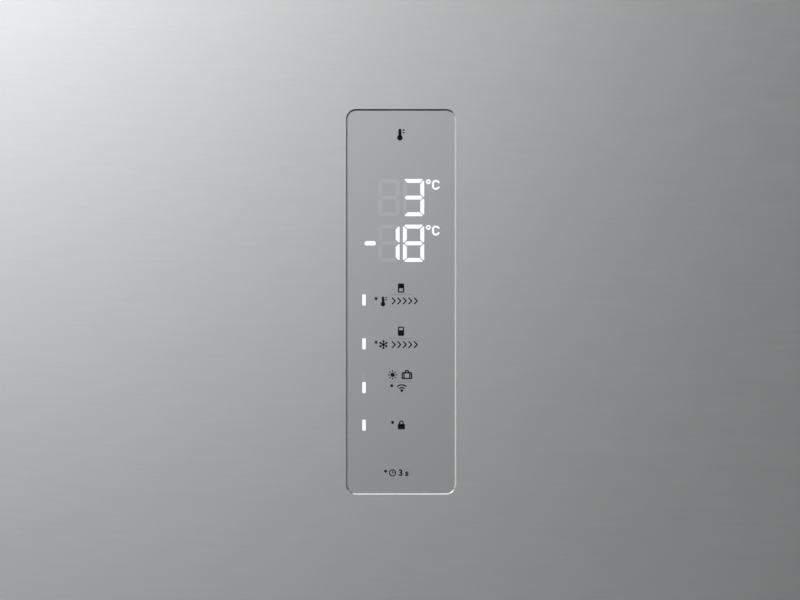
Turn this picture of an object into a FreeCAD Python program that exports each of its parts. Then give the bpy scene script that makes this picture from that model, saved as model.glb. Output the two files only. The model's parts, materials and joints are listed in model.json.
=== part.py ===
import FreeCAD, Part
import math
import os

# Free-standing fridge freezer: a hinged fridge door above two pull-out freezer drawers.
# Millimetres. +Z is up, the front faces -Y, and the origin is on the floor under the middle.

V = FreeCAD.Vector
X, Y, Z = V(1, 0, 0), V(0, 1, 0), V(0, 0, 1)

# Overall size, with the hinge cover on top
WIDTH = 595.0
DEPTH = 660.0
HEIGHT = 1900.0

# Sheet metal, mouldings and clearances
SHEET = 0.8
BASE_SHEET = 1.5
BAR_SHEET = 1.5
LINER = 2.0
MOULDING = 3.0
RUNNING = 0.3
SHAFT_FIT = 0.1

# Insulated fronts: two drawers and the door over them
FRONT_THICKNESS = 62.0
FRONT_BOTTOM = 60.0
LOWER_FRONT = 340.0
UPPER_FRONT = 270.0
FRONT_GAP = 8.0
DOOR_TOP_GAP = 6.0
EDGE_RADIUS = 6.0

# Finger grips: an open band above each drawer front, and a pocket under the door
GRIP_BAND = 26.0
GRIP_POCKET = 22.0
GRIP_REACH = 24.0
DOOR_GRIP_WIDTH = 200.0
DOOR_GRIP_FROM_EDGE = 40.0

# Magnetic gaskets
SEAL_GAP = 10.0
GASKET_WIDTH = 18.0
GASKET_END_INSET = 12.0
GASKET_PAST_AXIS = 2.0
GASKET_FOOT_WIDTH = 8.0
GASKET_FOOT = 3.0
SEAT_MARGIN = 2.0

# Control panel in the door: a smooth window recessed by the skin's thickness
PANEL_WIDTH = 60.0
PANEL_HEIGHT = 210.0
PANEL_RADIUS = 5.6
PANEL_CENTRE_Z = 1420.0
PANEL_BEVEL = 0.95
PANEL_FLANGE = 5.0
PANEL_RIM = 4.0
BOARD_THICKNESS = 1.6

# Cabinet walls, from the outside to the cavity
FRIDGE_WALL = 44.0
FRIDGE_BACK = 58.0
TOP_WALL = 52.0
FREEZER_WALL = 58.0
FREEZER_BACK = 68.0
CORNER_RADIUS = 12.0
FRONT_FLANGE = 38.0
BAR_DEPTH = 30.0
FLOOR_GAP = 28.0
PLINTH_BOTTOM = 12.0
PLINTH_THICKNESS = 4.0

# Machine compartment at the bottom rear, and what stands in it
MACHINE_DEPTH = 215.0
MACHINE_TOP = 235.0
STEP_WALL = 45.0
COMPRESSOR_RADIUS = 66.0
COMPRESSOR_HEIGHT = 150.0
COMPRESSOR_FEET = 9.0
COMPRESSOR_FROM_SIDE = 150.0
COMPRESSOR_DOME = 30.0
COMPRESSOR_SEAM = 82.0
COMPRESSOR_PLATE = 144.0
COMPRESSOR_PLATE_DEPTH = 116.0
RELAY_WIDTH = 52.0
RELAY_HEIGHT = 50.0
RELAY_DEPTH = 14.0
STUB_RADIUS = 3.0
STUB_LENGTH = 14.0
STUB_ANGLES = (30, 75, 120)
COIL_TUBE_RADIUS = 4.0
CONDENSER_ROWS = 5
CONDENSER_FINS = 18
DRAIN_PAN_MARGIN = 13.0
VENT_BAR = 3.0
MACHINE_VENTS = 28
PLINTH_VENTS = 24
DRAIN_PAN_HEIGHT = 32.0
CONDENSER_WIDTH = 110.0
CONDENSER_DEPTH = 150.0
CONDENSER_HEIGHT = 150.0
CONDENSER_FROM_SIDE = 12.0
CONDENSER_FAN_RADIUS = 62.0
GLAND_RADIUS = 10.0
GLAND_BORE = 4.0
GLAND_LENGTH = 14.0

# Cold side: evaporator chamber, fan, air duct and damper
CHAMBER = 85.0
EVAPORATOR_WIDTH = 400.0
EVAPORATOR_HEIGHT = 180.0
EVAPORATOR_DEPTH = 62.0
EVAPORATOR_LIFT = 20.0
EVAPORATOR_ROWS = 6
EVAPORATOR_FINS = 40
INTAKE_HEIGHT = 40.0
INTAKE_SLOTS = 20
EVAPORATOR_FAN_RADIUS = 48.0
FAN_TIP_GAP = 5.0
FAN_THICKNESS = 16.0
FAN_HUB_RADIUS = 16.0
FAN_BLADES = 5
FAN_BLADE_CHORD = 27.0
FAN_BLADE_SHEET = 1.2
FAN_BLADE_ANGLE = 28.0
GRILLE_BARS = 4
MOTOR_RADIUS = 22.0
MOTOR_LENGTH = 40.0
SHAFT_RADIUS = 2.5
DUCT_WIDTH = 180.0
DUCT_DEPTH = 30.0
DUCT_TOP_GAP = 34.0
DUCT_VENT_WIDTH = 126.0
DUCT_VENT_HEIGHT = 12.0
DUCT_VENT_LIFT = 135.0
DUCT_VENT_SLOTS = 3
DUCT_VENT_BAR = 9.0
AIR_PASSAGE_WIDTH = 80.0
AIR_PASSAGE_DEPTH = 14.0
DAMPER_HEIGHT = 60.0
DAMPER_WIDTH = 80.0
DAMPER_DEPTH = 19.0
DAMPER_THICKNESS = 2.0
DAMPER_PIN_RADIUS = 2.0

# Fridge fittings
SHELF_COUNT = 4
SHELF_PITCH = 225.0
GLASS = 4.0
TRIM_DEPTH = 14.0
TRIM_LIP = 3.0
TRIM_DROP = 6.0
SHELF_SIDE_GAP = 3.0
SHELF_RIB = 8.0
CRISPER_HEIGHT = 170.0
CRISPER_LID_GAP = 12.0
CRISPER_SIDE_GAP = 7.0
TUB_WALL = 2.5
TUB_RADIUS = 16.0
LAMP_WIDTH = 140.0
LAMP_DEPTH = 60.0
LAMP_HEIGHT = 8.0

# Door shelves
RIB_WIDTH = 16.0
RIB_DEPTH = 55.0
RIB_CLEARANCE = 16.0
BOTTLE_DEPTH = 110.0
BIN_DEPTH = 95.0
BOTTLE_HEIGHT = 110.0
BIN_HEIGHT = 80.0
BIN_PITCH = 300.0
LUG = 6.0
LUG_HEIGHT = 10.0
LUG_DEPTH = 40.0
BIN_GAP = 1.0
BIN_LIFT = 34.0
DOOR_REACH_GAP = 12.0

# Drawer slides and baskets
SLIDE_LENGTH = 300.0
SLIDE_HEIGHT = 46.0
SLIDE_DEPTH = 11.0
SLIDE_SHEET = 1.2
SLIDE_GAP = 0.4
SLIDE_SETBACK = 10.0
SLIDE_DROP = 30.0
LEDGE = 14.0
BASKET_RIM = 3.0
BASKET_GAP = 6.0
BASKET_BACK_GAP = 10.0

# Hinges
HINGE_INSET = 22.0
HINGE_DEPTH = 24.0
HINGE_PLATE = 3.0
LOWER_HINGE_PLATE = 4.0
HINGE_ARM_INNER = 30.0
HINGE_ARM_OUTER = 14.0
HINGE_NOSE = 14.0
HINGE_TAIL = 62.0
HINGE_FLANGE = 28.0
PIN_RADIUS = 5.0
PIN_DEPTH = 20.0
BOSS_RADIUS = 9.0
HINGE_COVER_HEIGHT = 24.0
HINGE_COVER_MARGIN = 12.0
SCREW_RADIUS = 2.5
SCREW_HEAD_RADIUS = 5.0
SCREW_HEAD = 2.6
CONTROL_BOX_WIDTH = 220.0
CONTROL_BOX_DEPTH = 130.0
CONTROL_BOX_HEIGHT = 20.0
CONTROL_BOX_SETBACK = 20.0
CONTROL_BOX_VENTS = 10

# Feet and rollers
FOOT_PAD_RADIUS = 18.0
FOOT_PAD = 9.0
FOOT_CHAMFER = 2.0
FOOT_STEM_RADIUS = 5.0
FOOT_STEM = 56.0
FOOT_BOSS_RADIUS = 9.0
FOOT_BOSS = 34.0
FOOT_FROM_SIDE = 42.0
FOOT_FROM_FRONT = 45.0
ROLLER_RADIUS = 13.0
ROLLER_WIDTH = 20.0
AXLE_RADIUS = 3.0
EAR_SHEET = 2.0
EAR_WIDTH = 18.0
ROLLER_FROM_SIDE = 60.0
ROLLER_FROM_BACK = 40.0

# Planes and heights that several pieces share
x_out = WIDTH / 2
x_in = x_out - SHEET
y_front = -DEPTH / 2
y_skin = y_front + SHEET
y_inner = y_front + FRONT_THICKNESS
y_panel = y_inner - LINER
y_cab = y_inner + SEAL_GAP
y_back = DEPTH / 2
cab_top = HEIGHT - HINGE_COVER_HEIGHT
base_top = FLOOR_GAP + BASE_SHEET
lower_z = (FRONT_BOTTOM, FRONT_BOTTOM + LOWER_FRONT)
upper_z = (lower_z[1] + FRONT_GAP, lower_z[1] + FRONT_GAP + UPPER_FRONT)
door_z = (upper_z[1] + FRONT_GAP, cab_top - DOOR_TOP_GAP)
seat = GASKET_END_INSET + GASKET_WIDTH + SEAT_MARGIN
centre_bar_z = (upper_z[1] - seat, door_z[0] + seat)
drawer_bar_z = (lower_z[1] - seat, upper_z[0] + seat)
flange_x = x_out - FRONT_FLANGE
fridge_x = x_out - FRIDGE_WALL
fridge_z = (centre_bar_z[1] + LINER, cab_top - TOP_WALL)
fridge_back = y_back - FRIDGE_BACK
freezer_x = x_out - FREEZER_WALL
freezer_z = (lower_z[0] + seat + LINER, centre_bar_z[0] - LINER)
freezer_back = y_back - FREEZER_BACK
machine_front = y_back - MACHINE_DEPTH
step_y = machine_front - STEP_WALL
step_z = MACHINE_TOP + STEP_WALL
chamber_front = freezer_back - CHAMBER
axis_x = x_out - HINGE_INSET
axis_y = y_front + HINGE_DEPTH
gap_z = (upper_z[1] + door_z[0]) / 2
duct_front = fridge_back - DUCT_DEPTH
shelf_front = y_inner + BIN_GAP + BOTTLE_DEPTH + DOOR_REACH_GAP
shelf_back = duct_front - SHELF_SIDE_GAP
shelf_heights = [
    fridge_z[0] + CRISPER_HEIGHT + CRISPER_LID_GAP + index * SHELF_PITCH for index in range(SHELF_COUNT)
]
rib_x = fridge_x - RIB_CLEARANCE - RIB_WIDTH
evaporator_fan_z = (step_z + EVAPORATOR_LIFT + EVAPORATOR_HEIGHT + freezer_z[1]) / 2


def box(x, y, z):
    """A block between two values on each axis."""
    return Part.makeBox(x[1] - x[0], y[1] - y[0], z[1] - z[0], V(x[0], y[0], z[0]))


def both(x):
    """The span from -x to x."""
    return (-x, x)


def rod(radius, start, end):
    """A cylinder between two points."""
    return Part.makeCylinder(radius, (end - start).Length, start, end - start)


def edges_along(shape, axis, keep):
    """The straight edges parallel to an axis whose middle passes a test."""
    chosen = []
    for edge in shape.Edges:
        direction = edge.tangentAt(edge.FirstParameter)
        if abs(abs(direction.dot(axis)) - 1) < 1e-6 and keep(edge.CenterOfMass):
            chosen.append(edge)
    return chosen


def round_edges(shape):
    """The full circles among a shape's edges."""
    return [edge for edge in shape.Edges if len(edge.Vertexes) == 1]


def rounded(shape, radius, axis, keep=lambda point: True):
    """The shape with its edges along one axis rounded."""
    return shape.makeFillet(radius, edges_along(shape, axis, keep))


def tub(x, y, z, wall, radius):
    """An open-topped container with rounded upright corners."""
    outside = rounded(box(x, y, z), radius, Z)
    inside = box((x[0] + wall, x[1] - wall), (y[0] + wall, y[1] - wall), (z[0] + wall, z[1] + wall))
    return outside.cut(rounded(inside, radius - wall, Z))


def mirrored(shape):
    """The same shape on the other side of the middle."""
    return shape.mirror(V(0, 0, 0), X)


def slots(x, y, z, count, bar):
    """Blocks that cut a row of upright slots across a width, with a bar between neighbours."""
    pitch = (x[1] - x[0] + bar) / count
    return [box((x[0] + i * pitch, x[0] + (i + 1) * pitch - bar), y, z) for i in range(count)]


def front_block(inset, z):
    """The outline of an insulated front between two heights, with rounded front edges."""
    block = box(both(x_out - inset), (y_front + inset, y_panel), z)
    return rounded(block, EDGE_RADIUS - inset, Z, lambda point: point.y < y_panel - inset - SHEET)


def front_skin(z):
    """A steel front folded back along both sides."""
    return front_block(0, z).cut(front_block(SHEET, z))


def gasket(z):
    """A magnetic gasket: a narrow foot on the inner panel and a wide seal in front of the cabinet."""
    outer_x = x_out - HINGE_INSET - GASKET_PAST_AXIS
    middle_x = outer_x - GASKET_WIDTH / 2
    low = z[0] + GASKET_END_INSET + GASKET_WIDTH / 2
    high = z[1] - GASKET_END_INSET - GASKET_WIDTH / 2

    def ring(width, y):
        outside = box(both(middle_x + width / 2), y, (low - width / 2, high + width / 2))
        inside = box(both(middle_x - width / 2), y, (low + width / 2, high - width / 2))
        return outside.cut(inside)

    foot = ring(GASKET_FOOT_WIDTH, (y_inner, y_inner + GASKET_FOOT))
    seal = ring(GASKET_WIDTH, (y_inner + GASKET_FOOT, y_cab - RUNNING))
    return foot.fuse(seal)


def panel_prism(margin, y, radius):
    """A rounded upright rectangle around the control panel."""
    half_x = PANEL_WIDTH / 2 + margin
    half_z = PANEL_HEIGHT / 2 + margin
    block = box(both(half_x), y, (PANEL_CENTRE_Z - half_z, PANEL_CENTRE_Z + half_z))
    return rounded(block, radius, Y)


def panel_opening():
    """The bevelled opening in the door skin, widest at the front."""
    through = panel_prism(-PANEL_BEVEL, (y_front - SHEET, y_skin + SHEET), PANEL_RADIUS - PANEL_BEVEL)

    def outline(margin, y):
        return panel_prism(margin, (y, y + SHEET), PANEL_RADIUS + margin).Faces

    wires = []
    for margin, y in ((0, y_front), (-PANEL_BEVEL, y_skin)):
        face = min(outline(margin, y), key=lambda each: each.CenterOfMass.y)
        wires.append(face.OuterWire)
    return through.fuse(Part.makeLoft(wires, True, True))


def door_pocket():
    """The finger pocket under the door, and the moulded box around it."""
    x = (-x_out + DOOR_GRIP_FROM_EDGE, -x_out + DOOR_GRIP_FROM_EDGE + DOOR_GRIP_WIDTH)
    y = (y_skin + MOULDING, y_skin + MOULDING + GRIP_REACH)
    z = (door_z[0], door_z[0] + GRIP_POCKET)
    outside = box((x[0] - MOULDING, x[1] + MOULDING), (y_skin, y[1] + MOULDING), (z[0], z[1] + MOULDING))
    return box(x, y, z), outside


def door_boss(end, inward):
    """A hinge boss at one end of the door: its outside and its bore."""
    start = V(axis_x, axis_y, end)
    outside = rod(BOSS_RADIUS, start, start + inward * (PIN_DEPTH + 2 * MOULDING))
    bore = rod(PIN_RADIUS + SHAFT_FIT, start, start + inward * (PIN_DEPTH + MOULDING))
    return outside, bore


def door_ribs():
    """The two upright ribs of the door's inner panel, moulded hollow, with a lug under each shelf end."""
    z = (shelf_heights[0] + GLASS + TRIM_DEPTH, door_z[1] - seat - GASKET_WIDTH)
    rib = box((rib_x, rib_x + RIB_WIDTH), (y_inner, y_inner + RIB_DEPTH), z)
    hollow = box(
        (rib_x + LINER, rib_x + RIB_WIDTH - LINER),
        (y_panel, y_inner + RIB_DEPTH - LINER),
        (z[0] + LINER, z[1] - LINER),
    )
    lugs = []
    for low, height, _ in bins():
        top = low + height - 2 * LUG_HEIGHT
        lugs.append(box((rib_x - LUG, rib_x), (y_inner, y_inner + LUG_DEPTH), (top - LUG_HEIGHT, top)))
    return rib, hollow, lugs


def bins():
    """Height, depth of the sides and reach of each door shelf, the bottle shelf first."""
    low = shelf_heights[0] + BIN_LIFT
    sizes = [(BOTTLE_HEIGHT, BOTTLE_DEPTH), (BIN_HEIGHT, BIN_DEPTH), (BIN_HEIGHT, BIN_DEPTH)]
    return [(low + index * BIN_PITCH, height, depth) for index, (height, depth) in enumerate(sizes)]


def door_shelf(low, height, depth):
    """A clear door shelf that hangs by two side wings on the lugs."""
    half = rib_x - LUG - BIN_GAP
    y = (y_inner + BIN_GAP, y_inner + BIN_GAP + depth)
    shelf = tub(both(half), y, (low, low + height), TUB_WALL, TUB_RADIUS)
    wing_z = low + height - 2 * LUG_HEIGHT
    wing_y = (y[0] + TUB_RADIUS, y[0] + LUG_DEPTH)
    wing = box((half - TUB_WALL, rib_x - BIN_GAP), wing_y, (wing_z, wing_z + MOULDING))
    return shelf.fuse([wing, mirrored(wing)])


def make_door():
    """The fridge door: skin, foam, inner panel, caps, gasket, shelves and control panel."""
    inside = front_block(SHEET, door_z)
    pocket, pocket_box = door_pocket()
    low_boss, low_bore = door_boss(door_z[0], Z)
    top_boss, top_bore = door_boss(door_z[1], Z * -1)
    rib, hollow, lugs = door_ribs()

    bottom_slab = inside.common(box(both(WIDTH), both(DEPTH), (door_z[0], door_z[0] + MOULDING)))
    top_slab = inside.common(box(both(WIDTH), both(DEPTH), (door_z[1] - MOULDING, door_z[1])))
    bottom_cap = bottom_slab.fuse([pocket_box, low_boss]).cut([pocket, low_bore])
    top_cap = top_slab.fuse(top_boss).cut(top_bore)

    cover = panel_prism(PANEL_FLANGE, (y_skin, y_skin + MOULDING), PANEL_RADIUS + PANEL_FLANGE)
    rim_y = (y_skin + MOULDING, y_skin + MOULDING + PANEL_RIM)
    rim = panel_prism(PANEL_FLANGE, rim_y, PANEL_RADIUS + PANEL_FLANGE)
    rim = rim.cut(panel_prism(PANEL_FLANGE - MOULDING, rim_y, PANEL_RADIUS))
    board_y = (rim_y[1], rim_y[1] + BOARD_THICKNESS)
    board = panel_prism(PANEL_FLANGE, board_y, PANEL_RADIUS + PANEL_FLANGE)
    nest = panel_prism(PANEL_FLANGE, (y_skin, board_y[1]), PANEL_RADIUS + PANEL_FLANGE)

    plate = box(both(x_out), (y_panel, y_inner), door_z)
    ribs = [rib, mirrored(rib)] + lugs + [mirrored(lug) for lug in lugs]
    inner_panel = plate.fuse(ribs).cut([hollow, mirrored(hollow)])
    foam = inside.cut([bottom_slab, top_slab, pocket_box, low_boss, top_boss, nest])
    return {
        "door_skin": front_skin(door_z).cut(panel_opening()),
        "door_foam": foam,
        "door_inner_panel": inner_panel,
        "door_top_cap": top_cap,
        "door_bottom_cap": bottom_cap,
        "door_gasket": gasket(door_z),
        "door_shelves": Part.makeCompound([door_shelf(*size) for size in bins()]),
        "display_cover": cover.fuse(rim),
        "display_board": board,
    }


def grip_profile(z):
    """The moulded grip along a drawer's top edge: a trough behind the skin, a back wall and a top."""
    skin_top = z[1] - GRIP_BAND
    floor = skin_top - GRIP_POCKET
    back = (y_skin + MOULDING + GRIP_REACH, y_skin + 2 * MOULDING + GRIP_REACH)
    x = both(x_in)
    front_wall = box(x, (y_skin, y_skin + MOULDING), (floor - MOULDING, skin_top))
    trough = box(x, (y_skin, back[1]), (floor - MOULDING, floor))
    back_wall = box(x, back, (floor - MOULDING, z[1]))
    top = box(x, (back[0], y_panel), (z[1] - MOULDING, z[1]))
    end_x = (x_in - MOULDING, x_in)
    side = box(end_x, (back[0], y_panel), (skin_top, z[1]))
    trough_side = box(end_x, (y_skin + EDGE_RADIUS, back[1]), (floor - MOULDING, skin_top))
    ends = [side, mirrored(side), trough_side, mirrored(trough_side)]
    profile = front_wall.fuse([trough, back_wall, top] + ends)
    profile = profile.common(front_block(SHEET, (floor - MOULDING, z[1])))
    filled = box(both(WIDTH), (y_front, back[1]), (floor - MOULDING, z[1]))
    return profile, filled


def slide_profile(plate, flanges, half_height, open_inward):
    """A channel section on the right wall, as spans measured inward from the wall."""
    outer = box(
        (freezer_x - flanges[1], freezer_x - flanges[0]), (0, SLIDE_LENGTH), both(half_height)
    )
    past = SLIDE_SHEET
    span = (plate[1], flanges[1] + past) if open_inward else (flanges[0] - past, plate[0])
    gap = box(
        (freezer_x - span[1], freezer_x - span[0]), (0, SLIDE_LENGTH), both(half_height - SLIDE_SHEET)
    )
    return outer.cut(gap)


def slide_members():
    """The outer, middle and inner members of one right-hand slide, with its middle at height 0."""
    half = SLIDE_HEIGHT / 2
    step = SLIDE_SHEET + SLIDE_GAP
    outer = slide_profile((0, SLIDE_SHEET), (0, SLIDE_DEPTH), half, True)
    middle = slide_profile((step, step + SLIDE_SHEET), (step, SLIDE_DEPTH), half - step, True)
    plate = (SLIDE_DEPTH - SLIDE_GAP, SLIDE_DEPTH - SLIDE_GAP + SLIDE_SHEET)
    inner = slide_profile(plate, (2 * step, plate[1]), half - 2 * step, False)
    ledge_low = -(half - 2 * step)
    ledge = box(
        (freezer_x - plate[1] - LEDGE, freezer_x - plate[0]),
        (0, SLIDE_LENGTH),
        (ledge_low, ledge_low + SLIDE_SHEET),
    )
    return outer, middle, inner.fuse(ledge)


def slide_ledge():
    """How far the ledge's top lies under the slide's middle, and the ledge's reach from the wall."""
    drop = SLIDE_HEIGHT / 2 - 2 * (SLIDE_SHEET + SLIDE_GAP) - SLIDE_SHEET
    plate_face = SLIDE_DEPTH - SLIDE_GAP + SLIDE_SHEET
    return drop, plate_face + LEDGE, plate_face


def slide_heights():
    """Middle heights of the upper and lower slides, hung from the tops of their openings."""
    return freezer_z[1] - SLIDE_DROP, drawer_bar_z[0] - SLIDE_DROP


def pair(shape, offset):
    """A slide member at its place, with its mirror image."""
    placed = shape.copy()
    placed.translate(offset)
    return Part.makeCompound([placed, mirrored(placed)])


def basket(slide_z, floor_z, back):
    """A drawer basket that hangs by its rim on the two slide ledges."""
    drop, inner_reach, outer_reach = slide_ledge()
    rim_z = slide_z - drop
    half = freezer_x - inner_reach - BIN_GAP
    y = (y_inner + BASKET_GAP, back - BASKET_BACK_GAP)
    body = tub(both(half), y, (floor_z + BASKET_GAP, rim_z + BASKET_RIM), TUB_WALL, TUB_RADIUS)
    rim_half = freezer_x - outer_reach - RUNNING
    rim_y = (y[0] + TUB_RADIUS, y_cab + SLIDE_SETBACK + SLIDE_LENGTH - BASKET_GAP)
    rim_y = (rim_y[0], min(rim_y[1], y[1] - TUB_RADIUS))
    rim = box((half - TUB_WALL, rim_half), rim_y, (rim_z, rim_z + BASKET_RIM))
    return body.fuse([rim, mirrored(rim)])


def make_drawer(name, z, slide_z, floor_z, back):
    """One freezer drawer: an insulated front, its basket and its slide members."""
    skin_z = (z[0], z[1] - GRIP_BAND)
    profile, filled = grip_profile(z)
    foam = front_block(SHEET, z).cut([filled, profile])
    inner = slide_members()[2]
    reach = y_cab + SLIDE_SETBACK - y_inner
    nose = inner.copy().common(box(both(WIDTH), (0, reach), both(SLIDE_HEIGHT)))
    nose.translate(V(0, -reach, 0))
    inner = inner.fuse(nose).removeSplitter()
    return {
        name + "_skin": front_skin(skin_z),
        name + "_foam": foam,
        name + "_inner_panel": box(both(x_out), (y_panel, y_inner), z),
        name + "_grip": profile,
        name + "_gasket": gasket(z),
        name + "_basket": basket(slide_z, floor_z, back),
        name + "_inner_rails": pair(inner, V(0, y_cab + SLIDE_SETBACK, slide_z)),
        name + "_middle_rails": pair(slide_members()[1], V(0, y_cab + SLIDE_SETBACK, slide_z)),
    }


def fridge_plug(grow):
    """The fridge cavity, or the block that its liner fills when grown by the wall."""
    block = box(
        both(fridge_x + grow), (y_cab, fridge_back + grow), (fridge_z[0] - grow, fridge_z[1] + grow)
    )
    return rounded(block, CORNER_RADIUS + grow, Z, lambda point: point.y > y_cab + CORNER_RADIUS)


def freezer_plug(grow):
    """The freezer cavity with its step over the machine compartment."""
    upper = box(both(freezer_x + grow), (y_cab, freezer_back + grow), (step_z - grow, freezer_z[1] + grow))
    lower = box(both(freezer_x + grow), (y_cab, step_y + grow), (freezer_z[0] - grow, step_z))
    return upper.fuse(lower).removeSplitter()


def air_passage():
    """The air hole through the floor of the fridge and the roof of the evaporator chamber."""
    middle = (duct_front + freezer_back) / 2
    y = (middle - AIR_PASSAGE_DEPTH / 2, middle + AIR_PASSAGE_DEPTH / 2)
    return box(both(AIR_PASSAGE_WIDTH / 2), y, (freezer_z[1] - LINER, fridge_z[0] + LINER))


def liner_flange(cavity_x, z):
    """The front lip of a liner, out to the side panels' flanges."""
    return box(both(flange_x), (y_cab, y_cab + LINER), z).cut(
        box(both(cavity_x), both(DEPTH), (z[0] - LINER, z[1] + LINER))
    )


def shelf_ribs():
    """The ribs on the fridge liner that carry the glass shelves."""
    y = (shelf_front + TRIM_DEPTH + RUNNING, shelf_back - TRIM_DEPTH - RUNNING)
    ribs = [box((fridge_x - SHELF_RIB, fridge_x), y, (z - TRIM_DROP, z)) for z in shelf_heights]
    return ribs + [mirrored(rib) for rib in ribs]


def make_liners():
    """The two vacuum-formed liners."""
    fridge_lip = liner_flange(fridge_x, (fridge_z[0] - LINER, fridge_z[1] + LINER))
    fridge_top = box(both(flange_x), (y_cab, y_cab + LINER), (fridge_z[1], cab_top - FRONT_FLANGE))
    fridge = fridge_plug(LINER).fuse([fridge_lip, fridge_top])
    fridge = fridge.cut([fridge_plug(0), air_passage()]).fuse(shelf_ribs())
    freezer_lip = liner_flange(freezer_x, (freezer_z[0] - LINER, freezer_z[1] + LINER))
    freezer_sill = box(both(flange_x), (y_cab, y_cab + LINER), (base_top, freezer_z[0]))
    freezer = freezer_plug(LINER).fuse([freezer_lip, freezer_sill])
    freezer = freezer.cut([freezer_plug(0), air_passage()])
    return {"fridge_liner": fridge, "freezer_liner": freezer}


def front_bar(half_x, z):
    """A hollow cross bar behind the gaskets."""
    y = (y_cab, y_cab + BAR_DEPTH)
    hollow = box(both(half_x), (y[0] + BAR_SHEET, y[1] - BAR_SHEET), (z[0] + BAR_SHEET, z[1] - BAR_SHEET))
    return box(both(half_x), y, z).cut(hollow)


def foot_centres():
    """Where the two levelling feet stand, right one first."""
    x = x_out - FOOT_FROM_SIDE
    y = y_cab + FOOT_FROM_FRONT
    return [V(x, y, 0), V(-x, y, 0)]


def roller_centres():
    """Where the two rear rollers turn, right one first."""
    x = x_out - ROLLER_FROM_SIDE
    y = y_back - ROLLER_FROM_BACK
    return [V(x, y, ROLLER_RADIUS), V(-x, y, ROLLER_RADIUS)]


def upper_hinge_screws():
    """Screw places on the upper hinge plate."""
    x = (axis_x - HINGE_ARM_INNER + 2 * SCREW_HEAD_RADIUS, axis_x + HINGE_ARM_OUTER - SCREW_HEAD_RADIUS)
    y = (y_cab + FRONT_FLANGE / 2, y_cab + HINGE_TAIL - 2 * SCREW_HEAD_RADIUS)
    return [V(x[0], y[0], cab_top), V(x[0], y[1], cab_top), V(x[1], y[1], cab_top)]


def lower_hinge_screws():
    """Screw places on the lower hinge's upright flange, under its arm."""
    x = (axis_x - HINGE_ARM_INNER + 2 * SCREW_HEAD_RADIUS, axis_x - SCREW_HEAD_RADIUS)
    z = gap_z - HINGE_FLANGE / 2 + SCREW_HEAD_RADIUS + RUNNING
    return [V(each, y_cab, z) for each in x]


def screw_holes(places, axis, depth):
    """Clearance holes for screws, through a plate and into what is behind it."""
    reach = axis * depth
    return [rod(SCREW_RADIUS + SHAFT_FIT, place - reach, place + reach) for place in places]


def screw(place, outward, plate):
    """A pan-head screw through a hinge plate, as far as the back of the sheet that it grips."""
    head_seat = place + outward * plate
    shank = rod(SCREW_RADIUS, place - outward * SHEET, head_seat)
    head = rod(SCREW_HEAD_RADIUS, head_seat, head_seat + outward * SCREW_HEAD)
    recess = rod(SCREW_RADIUS / 2, head_seat + outward * (SCREW_HEAD / 2), head_seat + outward * SCREW_HEAD)
    return shank.fuse(head).cut(recess)


def make_hinges():
    """The hinges on the right-hand side, their screws and the cover of the upper one."""
    x = (axis_x - HINGE_ARM_INNER, axis_x + HINGE_ARM_OUTER)
    nose = axis_y - HINGE_NOSE
    plate = box(x, (nose, y_cab + HINGE_TAIL), (cab_top, cab_top + HINGE_PLATE))
    plate = rounded(plate, HINGE_NOSE - RUNNING, Z, lambda point: point.y < axis_y)
    pin = rod(PIN_RADIUS, V(axis_x, axis_y, cab_top), V(axis_x, axis_y, door_z[1] - PIN_DEPTH))
    upper_places = upper_hinge_screws()
    upper = plate.fuse(pin).cut(screw_holes(upper_places, Z, 2 * HINGE_PLATE))

    arm_z = (gap_z - LOWER_HINGE_PLATE / 2, gap_z + LOWER_HINGE_PLATE / 2)
    arm = rounded(box(x, (nose, y_cab), arm_z), HINGE_NOSE - RUNNING, Z, lambda point: point.y < axis_y)
    flange = box(x, (y_cab - HINGE_PLATE, y_cab), (gap_z - HINGE_FLANGE / 2, gap_z + HINGE_FLANGE / 2))
    foot = V(axis_x, axis_y, arm_z[0])
    low_pin = rod(PIN_RADIUS, foot, V(axis_x, axis_y, door_z[0] + PIN_DEPTH))
    washer = rod(BOSS_RADIUS, foot, V(axis_x, axis_y, door_z[0] - RUNNING))
    lower_places = lower_hinge_screws()
    lower = arm.fuse([flange, low_pin, washer]).cut(screw_holes(lower_places, Y, 2 * HINGE_PLATE))

    screws = [screw(place, Z, HINGE_PLATE) for place in upper_places]
    screws += [screw(place, Y * -1, HINGE_PLATE) for place in lower_places]

    cover_x = (x[0] - HINGE_COVER_MARGIN, x[1] + MOULDING + RUNNING)
    cover_y = (nose - MOULDING - RUNNING, y_cab + HINGE_TAIL + HINGE_COVER_MARGIN)
    shell = rounded(box(cover_x, cover_y, (cab_top, HEIGHT)), HINGE_COVER_MARGIN, Z)
    inside = box(
        (cover_x[0] + MOULDING, cover_x[1] - MOULDING),
        (cover_y[0] + MOULDING, cover_y[1] - MOULDING),
        (cab_top, HEIGHT - MOULDING),
    )
    cover = shell.cut(rounded(inside, HINGE_COVER_MARGIN - MOULDING, Z))
    return {
        "upper_hinge": upper,
        "lower_hinge": lower,
        "hinge_screws": Part.makeCompound(screws),
        "hinge_cover": cover,
    }


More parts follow.
